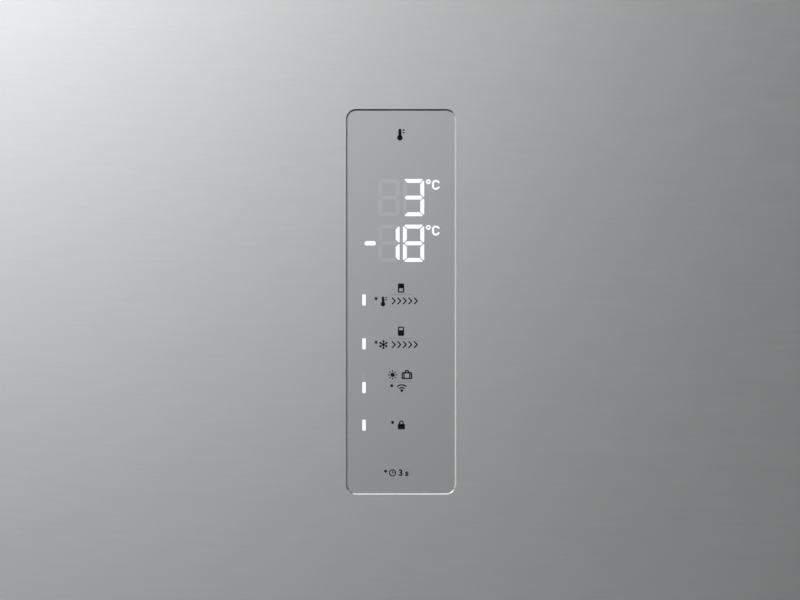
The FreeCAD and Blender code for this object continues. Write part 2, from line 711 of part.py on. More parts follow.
def make_cabinet():
    """Panels, base pan, bars, plinth and the foam between them."""
    side = box((x_in, x_out), (y_cab, y_back), (FLOOR_GAP, cab_top))
    side = side.fuse(box((flange_x, x_out), (y_cab, y_cab + SHEET), (FLOOR_GAP, cab_top)))

    top = box(both(x_in), (y_cab + SHEET, y_back), (cab_top - SHEET, cab_top))
    top = top.fuse(box(both(flange_x), (y_cab, y_cab + SHEET), (cab_top - FRONT_FLANGE, cab_top)))
    top = top.cut(screw_holes(upper_hinge_screws(), Z, 2 * SHEET))

    sheet_y = (machine_front, machine_front + SHEET)
    wall = box(both(x_in), (y_back - SHEET, y_back), (MACHINE_TOP, cab_top - SHEET))
    roof = box(both(x_in), (machine_front, y_back), (MACHINE_TOP, MACHINE_TOP + SHEET))
    apron = box(both(x_in), sheet_y, (base_top, MACHINE_TOP + SHEET))

    bosses = []
    stems = []
    for centre in foot_centres():
        seat_z = centre + Z * FLOOR_GAP
        bosses.append(rod(FOOT_BOSS_RADIUS, seat_z, seat_z + Z * FOOT_BOSS))
        stems.append(rod(FOOT_STEM_RADIUS + SHAFT_FIT, seat_z, seat_z + Z * (FOOT_BOSS - MOULDING)))
    ears = []
    axles = []
    for centre in roller_centres():
        for way in (-1, 1):
            gap = ROLLER_WIDTH / 2 + RUNNING
            x = sorted((centre.x + way * gap, centre.x + way * (gap + EAR_SHEET)))
            y = (centre.y - EAR_WIDTH / 2, centre.y + EAR_WIDTH / 2)
            ears.append(box(x, y, (centre.z - 2 * AXLE_RADIUS, FLOOR_GAP)))
        reach = X * (ROLLER_WIDTH / 2 + RUNNING + EAR_SHEET)
        axles.append(rod(AXLE_RADIUS + SHAFT_FIT, centre - reach, centre + reach))
    pan = box(both(x_in), (y_cab + LINER, y_back), (FLOOR_GAP, base_top))
    pan = pan.fuse(bosses + ears).cut(stems + axles)

    hinge_holes = screw_holes(lower_hinge_screws(), Y, 2 * SHEET)
    centre_bar = front_bar(flange_x, centre_bar_z).cut(hinge_holes)
    drawer_bar = front_bar(freezer_x, drawer_bar_z)

    foam = box(both(x_in), (y_cab + LINER, y_back - SHEET), (base_top, cab_top - SHEET))
    machine = box(both(x_in), (machine_front, y_back), (base_top, MACHINE_TOP + SHEET))
    bar_block = box(both(flange_x), (y_cab, y_cab + BAR_DEPTH), centre_bar_z)
    foam = foam.cut([fridge_plug(LINER), freezer_plug(LINER), machine, bar_block, air_passage()] + bosses)

    plinth_z = (PLINTH_BOTTOM, FRONT_BOTTOM - FRONT_GAP)
    plinth = box(both(flange_x), (y_cab - PLINTH_THICKNESS, y_cab), plinth_z)
    middle_z = (plinth_z[0] + plinth_z[1]) / 2
    vent_z = (plinth_z[0] + 2 * VENT_BAR, middle_z)
    openings = slots(both(flange_x - FRONT_FLANGE), both(DEPTH), vent_z, PLINTH_VENTS, 2 * VENT_BAR)
    return {
        "side_panels": Part.makeCompound([side.cut(hinge_holes), mirrored(side)]),
        "top_panel": top,
        "back_panel": wall.fuse([roof, apron]),
        "base_pan": pan,
        "front_bars": Part.makeCompound([centre_bar, drawer_bar]),
        "cabinet_foam": foam,
        "plinth": plinth.cut(openings),
        "control_box": control_box(),
        **make_feet(),
        **make_rollers(),
    }


def control_box():
    """The cover over the main control board, on the top panel at the back."""
    y = (y_back - CONTROL_BOX_SETBACK - CONTROL_BOX_DEPTH, y_back - CONTROL_BOX_SETBACK)
    half = CONTROL_BOX_WIDTH / 2
    z = (cab_top, cab_top + CONTROL_BOX_HEIGHT)
    inside = box(both(half - MOULDING), (y[0] + MOULDING, y[1] - MOULDING), (z[0], z[1] - MOULDING))
    vent_y = (y[1] - 2 * MOULDING, y[1] + MOULDING)
    vent_z = (z[0] + VENT_BAR, z[1] - MOULDING - VENT_BAR)
    vents = slots(both(half / 2), vent_y, vent_z, CONTROL_BOX_VENTS, VENT_BAR)
    return rounded(box(both(half), y, z), CORNER_RADIUS / 2, Z).cut([inside] + vents)


def make_feet():
    """Levelling feet: a pad and a stem in the base pan's boss."""
    feet = {}
    for side, centre in zip(("right", "left"), foot_centres()):
        pad = rod(FOOT_PAD_RADIUS, centre, centre + Z * FOOT_PAD)
        top_edge = max(round_edges(pad), key=lambda edge: edge.CenterOfMass.z)
        pad = pad.makeChamfer(FOOT_CHAMFER, [top_edge])
        feet["foot_" + side] = pad.fuse(rod(FOOT_STEM_RADIUS, centre, centre + Z * FOOT_STEM))
    return feet


def make_rollers():
    """Rear rollers, each with its axle."""
    rollers = {}
    for side, centre in zip(("right", "left"), roller_centres()):
        half = X * (ROLLER_WIDTH / 2)
        axle = X * (ROLLER_WIDTH / 2 + RUNNING + EAR_SHEET)
        wheel = rod(ROLLER_RADIUS, centre - half, centre + half)
        rollers["roller_" + side] = wheel.fuse(rod(AXLE_RADIUS, centre - axle, centre + axle))
    return rollers


def fan(radius, thickness):
    """A fan on the Z axis, with its hub bored for the shaft."""
    hub = rod(FAN_HUB_RADIUS, V(0, 0, 0), V(0, 0, thickness))
    blades = []
    for index in range(FAN_BLADES):
        span = (FAN_HUB_RADIUS / 2, radius + FAN_TIP_GAP)
        blade = box(span, both(FAN_BLADE_CHORD / 2), both(FAN_BLADE_SHEET / 2))
        blade.rotate(V(0, 0, 0), X, FAN_BLADE_ANGLE)
        blade.translate(V(0, 0, thickness / 2))
        blade.rotate(V(0, 0, 0), Z, index * 360 / FAN_BLADES)
        blades.append(blade)
    sweep = rod(radius, V(0, 0, 0), V(0, 0, thickness))
    bore = rod(SHAFT_RADIUS + SHAFT_FIT, V(0, 0, 0), V(0, 0, thickness - MOULDING))
    return hub.fuse(blades).common(sweep).cut(bore)


def motor(gap):
    """A fan motor on the Z axis below 0, with its shaft reaching into the fan's hub."""
    body = rod(MOTOR_RADIUS, V(0, 0, -gap - MOTOR_LENGTH), V(0, 0, -gap))
    return body.fuse(rod(SHAFT_RADIUS, V(0, 0, -gap), V(0, 0, FAN_THICKNESS - MOULDING - RUNNING)))


def serpentine(radius, pitch, rows, half, rise):
    """A tube that runs to and fro across X, one row per pitch up, joined by half rings at its ends."""
    runs = [rod(radius, V(-half, 0, rise + i * pitch), V(half, 0, rise + i * pitch)) for i in range(rows)]
    bends = []
    for index in range(rows - 1):
        way = 1 if index % 2 == 0 else -1
        bend = Part.makeTorus(pitch / 2, radius, V(0, 0, 0), Y, 0, 360, 180)
        if bend.CenterOfMass.x * way < 0:
            bend.rotate(V(0, 0, 0), Y, 180)
        bend.translate(V(way * half, 0, rise + index * pitch + pitch / 2))
        bends.append(bend)
    return runs[0].fuse(runs[1:] + bends)


def finned_coil(width, depth, height, rows, fins):
    """A coil of tube through a stack of plates, standing on Z = 0."""
    pitch = height / rows
    half = width / 2 - pitch / 2 - COIL_TUBE_RADIUS
    coil = serpentine(COIL_TUBE_RADIUS, pitch, rows, half, pitch / 2)
    step = 2 * half / (fins - 1)
    plates = []
    for index in range(fins):
        place = -half + index * step
        plates.append(box((place - SHEET / 2, place + SHEET / 2), both(depth / 2), (0, height)))
    return coil.fuse(plates)


def compressor():
    """A hermetic compressor: a domed can on a foot plate, with its relay cover and pipe stubs."""
    top = COMPRESSOR_FEET + COMPRESSOR_HEIGHT
    can = rod(COMPRESSOR_RADIUS, V(0, 0, COMPRESSOR_FEET), V(0, 0, top))
    can = can.makeFillet(COMPRESSOR_DOME, round_edges(can))
    seam_z = COMPRESSOR_FEET + COMPRESSOR_SEAM
    seam = rod(COMPRESSOR_RADIUS + MOULDING, V(0, 0, seam_z), V(0, 0, seam_z + MOULDING))
    half_x = COMPRESSOR_PLATE / 2
    half_y = COMPRESSOR_PLATE_DEPTH / 2
    plate = box(both(half_x), both(half_y), (COMPRESSOR_FEET, COMPRESSOR_FEET + MOULDING))
    plate = rounded(plate, CORNER_RADIUS, Z)
    feet = []
    for x in (-1, 1):
        for y in (-1, 1):
            place = V(x * (half_x - CORNER_RADIUS), y * (half_y - CORNER_RADIUS), 0)
            feet.append(rod(BOSS_RADIUS, place, place + Z * COMPRESSOR_FEET))
    relay_x = (-COMPRESSOR_RADIUS - RELAY_DEPTH, -COMPRESSOR_RADIUS + RELAY_DEPTH)
    relay_z = (seam_z - MOULDING - RELAY_HEIGHT, seam_z - MOULDING)
    relay = box(relay_x, both(RELAY_WIDTH / 2), relay_z)
    stubs = []
    for turn in STUB_ANGLES:
        way = V(math.cos(math.radians(turn)), -math.sin(math.radians(turn)), 0)
        start = way * (COMPRESSOR_RADIUS - STUB_LENGTH) + Z * (seam_z + 2 * MOULDING + STUB_RADIUS)
        stubs.append(rod(STUB_RADIUS, start, start + way * (2 * STUB_LENGTH)))
    return can.fuse([seam, plate, relay] + feet + stubs)


def make_machine():
    """What stands in the machine compartment, and its rear cover."""
    middle_y = (machine_front + SHEET + y_back) / 2
    pump = compressor()
    pump_place = V(x_out - COMPRESSOR_FROM_SIDE, middle_y, base_top)
    pump.translate(pump_place)
    pan_z = base_top + COMPRESSOR_FEET + COMPRESSOR_HEIGHT
    pan_half = COMPRESSOR_RADIUS + DRAIN_PAN_MARGIN
    pan = tub(
        (pump_place.x - pan_half, pump_place.x + pan_half),
        (middle_y - COMPRESSOR_RADIUS, middle_y + COMPRESSOR_RADIUS),
        (pan_z, pan_z + DRAIN_PAN_HEIGHT),
        TUB_WALL,
        TUB_RADIUS,
    )
    coil = finned_coil(CONDENSER_WIDTH, CONDENSER_DEPTH, CONDENSER_HEIGHT, CONDENSER_ROWS, CONDENSER_FINS)
    coil_x = -x_in + CONDENSER_FROM_SIDE + CONDENSER_WIDTH / 2
    coil.translate(V(coil_x, middle_y, base_top))

    blades = fan(CONDENSER_FAN_RADIUS, FAN_THICKNESS)
    blades.Placement = FreeCAD.Placement(condenser_fan_place(), FreeCAD.Rotation(Z, X * -1))

    cover_z = (base_top, MACHINE_TOP)
    cover = box(both(x_in), (y_back - SHEET, y_back), cover_z)
    gland_place = gland_centre()
    vent_z = (base_top + GRIP_BAND, MACHINE_TOP - GRIP_BAND)
    vent_x = (-x_in + FRONT_FLANGE, gland_place.x - FRONT_FLANGE)
    vents = slots(vent_x, both(DEPTH), vent_z, MACHINE_VENTS, VENT_BAR)
    hole = rod(GLAND_RADIUS, gland_place - Y * SHEET, gland_place + Y * SHEET)
    return {
        "compressor": pump,
        "drain_pan": pan,
        "condenser": coil,
        "condenser_fan": blades,
        "machine_cover": cover.cut(vents + [hole]),
        "cord_gland": cord_gland(gland_place),
    }


def condenser_fan_place():
    """The motor's side of the condenser fan's hub, on its axis."""
    x = -x_in + CONDENSER_FROM_SIDE + CONDENSER_WIDTH + FAN_TIP_GAP + FAN_THICKNESS
    y = (machine_front + SHEET + y_back) / 2
    return V(x, y, base_top + CONDENSER_FAN_RADIUS + FAN_TIP_GAP)


def gland_centre():
    """Where the cord gland passes the machine cover, at the cover's outer face."""
    return V(x_in - FRONT_FLANGE, y_back, (base_top + MACHINE_TOP) / 2)


def cord_gland(place):
    """A rubber gland in the machine cover, with a flange on its inside."""
    start = place - Y * GLAND_LENGTH
    body = rod(GLAND_RADIUS, start, place)
    flange = rod(GLAND_RADIUS + MOULDING, place - Y * (SHEET + MOULDING), place - Y * SHEET)
    return body.fuse(flange).cut(rod(GLAND_BORE, start, place))


def make_motors():
    """Both fan motors: one on the freezer's back wall, one on a bracket on the base pan."""
    cold_gap = freezer_back - evaporator_fan_place().y - MOTOR_LENGTH
    cold = motor(cold_gap)
    cold.Placement = FreeCAD.Placement(evaporator_fan_place(), FreeCAD.Rotation(Z, Y * -1))
    place = condenser_fan_place()
    warm = motor(FAN_TIP_GAP)
    warm.Placement = FreeCAD.Placement(place, FreeCAD.Rotation(Z, X * -1))
    end = place.x + FAN_TIP_GAP + MOTOR_LENGTH
    post_y = (place.y - MOTOR_RADIUS / 2, place.y + MOTOR_RADIUS / 2)
    post = box((end - MOTOR_LENGTH / 2, end), post_y, (base_top, place.z))
    return {"fan_motors": Part.makeCompound([cold, warm.fuse(post)])}


def evaporator_fan_place():
    """The motor's side of the evaporator fan's hub, on its axis."""
    return V(0, chamber_front + MOULDING + FAN_TIP_GAP + FAN_THICKNESS, evaporator_fan_z)


def make_cold_side():
    """Evaporator, its cover and fan, and the air duct with its damper."""
    coil = finned_coil(
        EVAPORATOR_WIDTH, EVAPORATOR_DEPTH, EVAPORATOR_HEIGHT, EVAPORATOR_ROWS, EVAPORATOR_FINS
    )
    coil.translate(V(0, freezer_back - EVAPORATOR_DEPTH / 2, step_z + EVAPORATOR_LIFT))

    cover_y = (chamber_front, chamber_front + MOULDING)
    cover = box(both(freezer_x), cover_y, (step_z, freezer_z[1]))
    mouth = EVAPORATOR_FAN_RADIUS + FAN_TIP_GAP
    centre = V(0, 0, evaporator_fan_z)
    hole = rod(mouth, centre + Y * cover_y[0], centre + Y * cover_y[1])
    bars = []
    for index in range(GRILLE_BARS):
        z = evaporator_fan_z - mouth + (index + 1) * 2 * mouth / (GRILLE_BARS + 1)
        bars.append(box(both(mouth), cover_y, (z - VENT_BAR / 2, z + VENT_BAR / 2)))
    intake_z = (step_z + EVAPORATOR_LIFT, step_z + EVAPORATOR_LIFT + INTAKE_HEIGHT)
    intake = slots(both(freezer_x - FRONT_FLANGE), cover_y, intake_z, INTAKE_SLOTS, 2 * VENT_BAR)
    cover = cover.cut([hole] + intake).fuse(bars)

    blades = fan(EVAPORATOR_FAN_RADIUS, FAN_THICKNESS)
    blades.Placement = FreeCAD.Placement(evaporator_fan_place(), FreeCAD.Rotation(Z, Y * -1))
    return {
        "evaporator": coil,
        "evaporator_cover": cover,
        "evaporator_fan": blades,
        **make_duct(),
    }


def make_duct():
    """The air duct on the fridge's back wall, with the damper flap in its foot."""
    half = DUCT_WIDTH / 2
    duct_z = (fridge_z[0], fridge_z[1] - DUCT_TOP_GAP)
    shell = box(both(half), (duct_front, fridge_back), duct_z)
    hollow_y = (duct_front + MOULDING, fridge_back)
    inside = box(both(half - MOULDING), hollow_y, (duct_z[0], duct_z[1] - MOULDING))
    vents = []
    for z in shelf_heights:
        vent_z = (z + DUCT_VENT_LIFT, z + DUCT_VENT_LIFT + DUCT_VENT_HEIGHT)
        vent_y = (duct_front, duct_front + MOULDING)
        vents += slots(both(DUCT_VENT_WIDTH / 2), vent_y, vent_z, DUCT_VENT_SLOTS, DUCT_VENT_BAR)

    pin_z = duct_z[0] + DAMPER_HEIGHT
    pin_y = fridge_back - MOULDING - DAMPER_PIN_RADIUS
    lug_x = DAMPER_WIDTH / 2 + RUNNING
    lug_half = DAMPER_PIN_RADIUS + MOULDING
    lug = box((lug_x, lug_x + MOULDING), hollow_y, (pin_z - lug_half, pin_z + lug_half))
    seat_z = (pin_z - DAMPER_THICKNESS / 2 - RUNNING - MOULDING, pin_z - DAMPER_THICKNESS / 2 - RUNNING)
    frame = box(both(half - MOULDING), hollow_y, seat_z)
    mouth_y = (pin_y - DAMPER_DEPTH + MOULDING, pin_y - 2 * DAMPER_PIN_RADIUS)
    mouth = box(both(DAMPER_WIDTH / 2 - MOULDING), mouth_y, seat_z)
    groove = rod(DAMPER_PIN_RADIUS + RUNNING, V(-lug_x, pin_y, pin_z), V(lug_x, pin_y, pin_z))
    bore_x = X * (lug_x + MOULDING)
    bore = rod(DAMPER_PIN_RADIUS + SHAFT_FIT, V(0, pin_y, pin_z) - bore_x, V(0, pin_y, pin_z) + bore_x)
    duct = shell.cut([inside] + vents).fuse([lug, mirrored(lug), frame]).cut([mouth, groove, bore])

    flap_z = (pin_z - DAMPER_THICKNESS / 2, pin_z + DAMPER_THICKNESS / 2)
    flap = box(both(DAMPER_WIDTH / 2), (pin_y - DAMPER_DEPTH, pin_y), flap_z)
    pin = rod(DAMPER_PIN_RADIUS, V(0, pin_y, pin_z) - bore_x, V(0, pin_y, pin_z) + bore_x)
    return {"air_duct": duct, "damper_flap": flap.fuse(pin)}


def make_fittings():
    """Glass shelves with their trims, the crisper and the lamp."""
    half = fridge_x - SHELF_SIDE_GAP
    glasses = []
    trims = []
    for z in shelf_heights:
        glass = box(both(half), (shelf_front + TRIM_LIP, shelf_back - TRIM_LIP), (z, z + GLASS))
        glasses.append(glass)
        for y in ((shelf_front, shelf_front + TRIM_DEPTH), (shelf_back - TRIM_DEPTH, shelf_back)):
            trims.append(box(both(half), y, (z - TRIM_DROP, z + GLASS + TRIM_LIP)).cut(glass))

    crisper_x = fridge_x - CRISPER_SIDE_GAP
    crisper_y = (shelf_front, duct_front - CRISPER_SIDE_GAP)
    crisper_z = (fridge_z[0], fridge_z[0] + CRISPER_HEIGHT)
    crisper = tub(both(crisper_x), crisper_y, crisper_z, TUB_WALL, TUB_RADIUS)
    lip_x = both(crisper_x - TUB_RADIUS)
    lip_front = crisper_y[0] - TRIM_DEPTH
    lip = box(lip_x, (lip_front, crisper_y[0] + TUB_WALL), (crisper_z[1] - MOULDING, crisper_z[1]))
    hook = box(lip_x, (lip_front, lip_front + MOULDING), (crisper_z[1] - GRIP_BAND, crisper_z[1]))

    lamp = box(both(LAMP_WIDTH / 2), both(LAMP_DEPTH / 2), (fridge_z[1] - LAMP_HEIGHT, fridge_z[1]))
    lamp = rounded(lamp, CORNER_RADIUS, Z)
    return {
        "glass_shelves": Part.makeCompound(glasses),
        "shelf_trims": Part.makeCompound(trims),
        "crisper": crisper.fuse([lip, hook]),
        "lamp_lens": lamp,
    }


def make_drawers():
    """Both freezer drawers and the outer slide members on the freezer's walls."""
    upper_slide, lower_slide = slide_heights()
    outer = slide_members()[0]
    outers = []
    for slide_z in (upper_slide, lower_slide):
        outers += pair(outer, V(0, y_cab + SLIDE_SETBACK, slide_z)).Solids
    return {
        "outer_rails": Part.makeCompound(outers),
        **make_drawer("upper_drawer", upper_z, upper_slide, drawer_bar_z[1], chamber_front),
        **make_drawer("lower_drawer", lower_z, lower_slide, freezer_z[0], step_y),
    }


def main():
    """Build every piece and write it under its own name."""
    pieces = {
        **make_cabinet(),
        **make_liners(),
        **make_machine(),
        **make_cold_side(),
        **make_motors(),
        **make_fittings(),
        **make_hinges(),
        **make_door(),
        **make_drawers(),
    }
    os.makedirs("parts", exist_ok=True)
    for name, shape in pieces.items():
        shape.exportStep("parts/" + name + ".step")


main()
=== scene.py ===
import json
import math
import bmesh
import bpy
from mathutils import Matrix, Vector


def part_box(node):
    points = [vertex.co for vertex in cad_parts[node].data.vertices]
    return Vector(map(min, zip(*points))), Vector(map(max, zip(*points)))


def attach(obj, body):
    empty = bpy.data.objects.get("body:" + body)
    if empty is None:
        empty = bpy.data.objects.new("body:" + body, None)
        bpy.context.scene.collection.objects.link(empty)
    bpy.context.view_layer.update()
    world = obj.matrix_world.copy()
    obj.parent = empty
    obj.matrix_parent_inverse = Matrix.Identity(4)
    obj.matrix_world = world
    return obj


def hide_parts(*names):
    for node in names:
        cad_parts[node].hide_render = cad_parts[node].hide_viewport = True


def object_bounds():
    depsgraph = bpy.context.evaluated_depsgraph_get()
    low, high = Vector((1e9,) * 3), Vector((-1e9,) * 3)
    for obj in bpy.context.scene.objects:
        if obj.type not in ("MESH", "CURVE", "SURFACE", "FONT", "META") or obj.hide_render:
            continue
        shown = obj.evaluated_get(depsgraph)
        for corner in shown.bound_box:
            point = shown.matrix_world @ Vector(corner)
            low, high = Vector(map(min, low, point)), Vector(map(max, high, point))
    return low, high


# The looks of a free-standing fridge freezer: a brushed steel door with an upright touch panel, above two
# freezer drawers. Metres, +Z up, the front faces -Y.
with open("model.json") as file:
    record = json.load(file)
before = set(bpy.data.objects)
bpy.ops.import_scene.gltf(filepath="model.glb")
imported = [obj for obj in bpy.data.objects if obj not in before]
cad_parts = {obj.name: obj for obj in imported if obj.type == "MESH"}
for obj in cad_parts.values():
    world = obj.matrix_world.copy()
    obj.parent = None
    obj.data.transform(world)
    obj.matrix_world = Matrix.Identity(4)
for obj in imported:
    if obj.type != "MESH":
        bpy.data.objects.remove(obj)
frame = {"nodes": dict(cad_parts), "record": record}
cad_low, cad_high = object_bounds()
nodes = frame["nodes"]
record = frame["record"]
body_of = {node: body for body, members in record["behaviour"]["bodies"].items() for node in members}
slot_of = {row["node"]: row["material_slot"] for row in record["subparts"]}
MM = 0.001

# View: straight at the touch panel, which stands a little off the middle of the picture
PICTURE_WIDTH = 435.6 * MM
VIEW_RIGHT = -0.55 * MM
VIEW_UP = 1.0 * MM
LENS = 85.0
SENSOR = 36.0

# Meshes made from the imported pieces: which points are one, which faces too thin, which edges flat or sharp
MERGE = 0.004 * MM
SQUEEZED = 0.002 * MM
FLAT = math.radians(0.2)
SHARP = math.radians(35)


# Materials


def linear(code):
    """An sRGB hex colour as linear RGBA."""
    channels = [int(code[place:place + 2], 16) / 255 for place in (1, 3, 5)]
    return [c / 12.92 if c <= 0.04045 else ((c + 0.055) / 1.055) ** 2.4 for c in channels] + [1.0]


def add(tree, kind, values=None, links=None):
    """A new node. Lower-case keys set its properties, the others its inputs, and links feed its inputs."""
    node = tree.nodes.new(kind)
    for key, value in (values or {}).items():
        if isinstance(key, str) and key.islower():
            setattr(node, key, value)
        else:
            node.inputs[key].default_value = value
    for key, source in (links or {}).items():
        tree.links.new(source, node.inputs[key])
    return node


def start(name, colour, **values):
    """A new material with even values on its shader: the material, its tree, shader and coordinates."""
    made = bpy.data.materials.new(name)
    made.use_nodes = True
    tree = made.node_tree
    shader = tree.nodes["Principled BSDF"]
    shader.inputs["Base Color"].default_value = linear(colour)
    for key, value in values.items():
        shader.inputs[key.replace("_", " ")].default_value = value
    place = add(tree, "ShaderNodeTexCoord").outputs["Object"]
    return made, tree, shader, place


def vary(tree, shader, pattern, colours=None, roughness=None, relief=0.0):
    """Let a pattern from 0 to 1 move a finish between two colours and two roughnesses, and raise it."""
    if colours:
        ends = {"data_type": "RGBA", 6: linear(colours[0]), 7: linear(colours[1])}
        mix = add(tree, "ShaderNodeMix", ends, {0: pattern})
        tree.links.new(mix.outputs[2], shader.inputs["Base Color"])
    if roughness:
        ends = {"To Min": roughness[0], "To Max": roughness[1]}
        rough = add(tree, "ShaderNodeMapRange", ends, {"Value": pattern})
        tree.links.new(rough.outputs["Result"], shader.inputs["Roughness"])
    if relief:
        bump = add(tree, "ShaderNodeBump", {"Strength": 1.0, "Distance": relief}, {"Height": pattern})
        tree.links.new(bump.outputs["Normal"], shader.inputs["Normal"])


def brushed_stainless():
    """Stainless sheet brushed from side to side: fine level streaks, drawn 1 mm wide so that they show."""
    made, tree, shader, place = start("brushed_stainless", "#a9aaab", Metallic=1.0)
    along = {"Scale": (1 / (24 * MM), 1 / (24 * MM), 1 / (1.0 * MM))}
    stretch = add(tree, "ShaderNodeMapping", along, {"Vector": place})
    streaks = add(tree, "ShaderNodeTexNoise", {"Scale": 1.0, "Detail": 2.0}, {"Vector": stretch.outputs[0]})
    vary(tree, shader, streaks.outputs[0], ("#a5a6a7", "#adaeaf"), (0.52, 0.58), 0.003 * MM)
    return made


def sheared_edge():
    """The sheet's cut edge round the window: bare, smoother than the brushed face, with faint shear lines."""
    made, tree, shader, place = start("sheared_edge", "#b4b5b6", Metallic=1.0)
    lines = add(tree, "ShaderNodeTexNoise", {"Scale": 1 / (2 * MM)}, {"Vector": place})
    vary(tree, shader, lines.outputs[0], ("#b0b1b2", "#b8b9ba"), (0.20, 0.24))
    return made


def enamelled_steel():
    """Pre-painted steel sheet: satin grey paint with a faint orange peel."""
    made, tree, shader, place = start("enamelled_steel", "#7c7e81", IOR=1.5)
    peel = add(tree, "ShaderNodeTexNoise", {"Scale": 1 / (1.4 * MM)}, {"Vector": place})
    vary(tree, shader, peel.outputs[0], ("#797a7d", "#808285"), (0.36, 0.46), 0.02 * MM)
    return made


def galvanised_steel():
    """Hot-dipped sheet: zinc crystals of about a centimetre, each with its own grey, dulled by the air."""
    made, tree, shader, place = start("galvanised_steel", "#a3a7aa", Metallic=0.75)
    crystals = add(tree, "ShaderNodeTexVoronoi", {"Scale": 1 / (9 * MM)}, {"Vector": place})
    grey = add(tree, "ShaderNodeSeparateColor", None, {"Color": crystals.outputs["Color"]})
    vary(tree, shader, grey.outputs[0], ("#a2a6a9", "#b0b4b7"), (0.50, 0.60))
    return made


def polyurethane_foam():
    """Foam that rose and set in place: cream, with open cells."""
    made, tree, shader, place = start("polyurethane_foam", "#dccb98", IOR=1.5)
    cells = add(tree, "ShaderNodeTexVoronoi", {"Scale": 1 / (1.6 * MM)}, {"Vector": place})
    vary(tree, shader, cells.outputs["Distance"], ("#c8b480", "#e6d8aa"), (0.8, 0.95), 0.3 * MM)
    return made


def vacuum_formed_polystyrene():
    """Pale grey HIPS sheet drawn over a mould: glossy, with a slow ripple."""
    made, tree, shader, place = start("vacuum_formed_polystyrene", "#b9bcbe", IOR=1.59)
    ripple = add(tree, "ShaderNodeTexNoise", {"Scale": 1 / (9 * MM)}, {"Vector": place})
    vary(tree, shader, ripple.outputs[0], ("#b6b9bb", "#bcbfc1"), (0.20, 0.30), 0.05 * MM)
    return made


def clear_polystyrene():
    """Clear moulded GPPS with a cool tint and faint flow lines."""
    made, tree, shader, place = start("clear_polystyrene", "#c0cbd1", IOR=1.59, Alpha=0.36)
    along = {"Scale": (1 / (60 * MM), 1 / (60 * MM), 1 / (15 * MM))}
    stretch = add(tree, "ShaderNodeMapping", along, {"Vector": place})
    flow = add(tree, "ShaderNodeTexNoise", {"Scale": 1.0}, {"Vector": stretch.outputs[0]})
    vary(tree, shader, flow.outputs[0], ("#bbc7cd", "#c5cfd5"), (0.05, 0.12))
    return made


def tempered_glass():
    """Float glass, toughened: clear, with a faint green tint."""
    made, tree, shader, place = start("tempered_glass", "#c9e2d6", IOR=1.52, Alpha=0.25)
    drift = add(tree, "ShaderNodeTexNoise", {"Scale": 1 / (80 * MM)}, {"Vector": place})
    vary(tree, shader, drift.outputs[0], ("#c2ddd0", "#d1e8dd"), (0.02, 0.05))
    return made


def satin_abs():
    """Silver-grey ABS trim with a fine satin texture."""
    made, tree, shader, place = start("satin_abs", "#b4b7ba", IOR=1.54)
    grain = add(tree, "ShaderNodeTexNoise", {"Scale": 1 / (0.5 * MM)}, {"Vector": place})
    vary(tree, shader, grain.outputs[0], ("#afb2b5", "#babdc0"), (0.38, 0.48), 0.01 * MM)
    return made


def moulded_charcoal_abs():
    """Charcoal ABS from a spark-eroded mould: matt, with a fine grain."""
    made, tree, shader, place = start("moulded_charcoal_abs", "#26282b", IOR=1.54)
    grain = add(tree, "ShaderNodeTexNoise", {"Scale": 1 / (0.6 * MM)}, {"Vector": place})
    vary(tree, shader, grain.outputs[0], ("#222427", "#2c2e31"), (0.48, 0.62), 0.03 * MM)
    return made


def soft_pvc():
    """Extruded soft PVC: mid grey and dull, with a slight bloom."""
    made, tree, shader, place = start("soft_pvc", "#8d9093", IOR=1.52)
    bloom = add(tree, "ShaderNodeTexNoise", {"Scale": 1 / (6 * MM)}, {"Vector": place})
    vary(tree, shader, bloom.outputs[0], ("#868a8d", "#94979a"), (0.52, 0.66), 0.02 * MM)
    return made


def printed_film():
    """Silver ink behind a smooth clear film: no brushing, a shade darker and cooler than the steel."""
    made, tree, shader, place = start("printed_film", "#a0a1a2", Metallic=1.0)
    flake = add(tree, "ShaderNodeTexNoise", {"Scale": 1 / (0.3 * MM)}, {"Vector": place})
    vary(tree, shader, flake.outputs[0], ("#9e9fa0", "#a2a3a4"), (0.53, 0.57))
    return made


def circuit_laminate():
    """Glass-epoxy board under green lacquer, with copper showing through as paler tracks."""
    made, tree, shader, place = start("circuit_laminate", "#0e4a28", IOR=1.5)
    tracks = add(tree, "ShaderNodeTexBrick", {"Scale": 1 / (12 * MM)}, {"Vector": place})
    vary(tree, shader, tracks.outputs["Fac"], ("#0c4123", "#1b6b3c"), (0.30, 0.42))
    return made


def black_enamel():
    """Stoved black enamel over pressed steel: glossy, with orange peel."""
    made, tree, shader, place = start("black_enamel", "#0d0d0e", IOR=1.5, Coat_Weight=0.5)
    peel = add(tree, "ShaderNodeTexNoise", {"Scale": 1 / (2 * MM)}, {"Vector": place})
    vary(tree, shader, peel.outputs[0], ("#0a0a0b", "#131314"), (0.22, 0.34), 0.03 * MM)
    return made


def copper_tube():
    """Drawn copper, dulled in patches by handling and brazing."""
    made, tree, shader, place = start("copper_tube", "#b97c58", Metallic=1.0)
    patches = add(tree, "ShaderNodeTexNoise", {"Scale": 1 / (14 * MM)}, {"Vector": place})
    vary(tree, shader, patches.outputs[0], ("#a0643f", "#c98d68"), (0.28, 0.48))
    return made


def fin_aluminium():
    """Rolled aluminium fin stock, bright with fine rolling lines."""
    made, tree, shader, place = start("fin_aluminium", "#c9cbcd", Metallic=1.0)
    along = {"Scale": (1 / (8 * MM), 1 / (8 * MM), 1 / (0.6 * MM))}
    stretch = add(tree, "ShaderNodeMapping", along, {"Vector": place})
    lines = add(tree, "ShaderNodeTexNoise", {"Scale": 1.0}, {"Vector": stretch.outputs[0]})
    vary(tree, shader, lines.outputs[0], ("#bdbfc1", "#d5d7d8"), (0.30, 0.44))
    return made


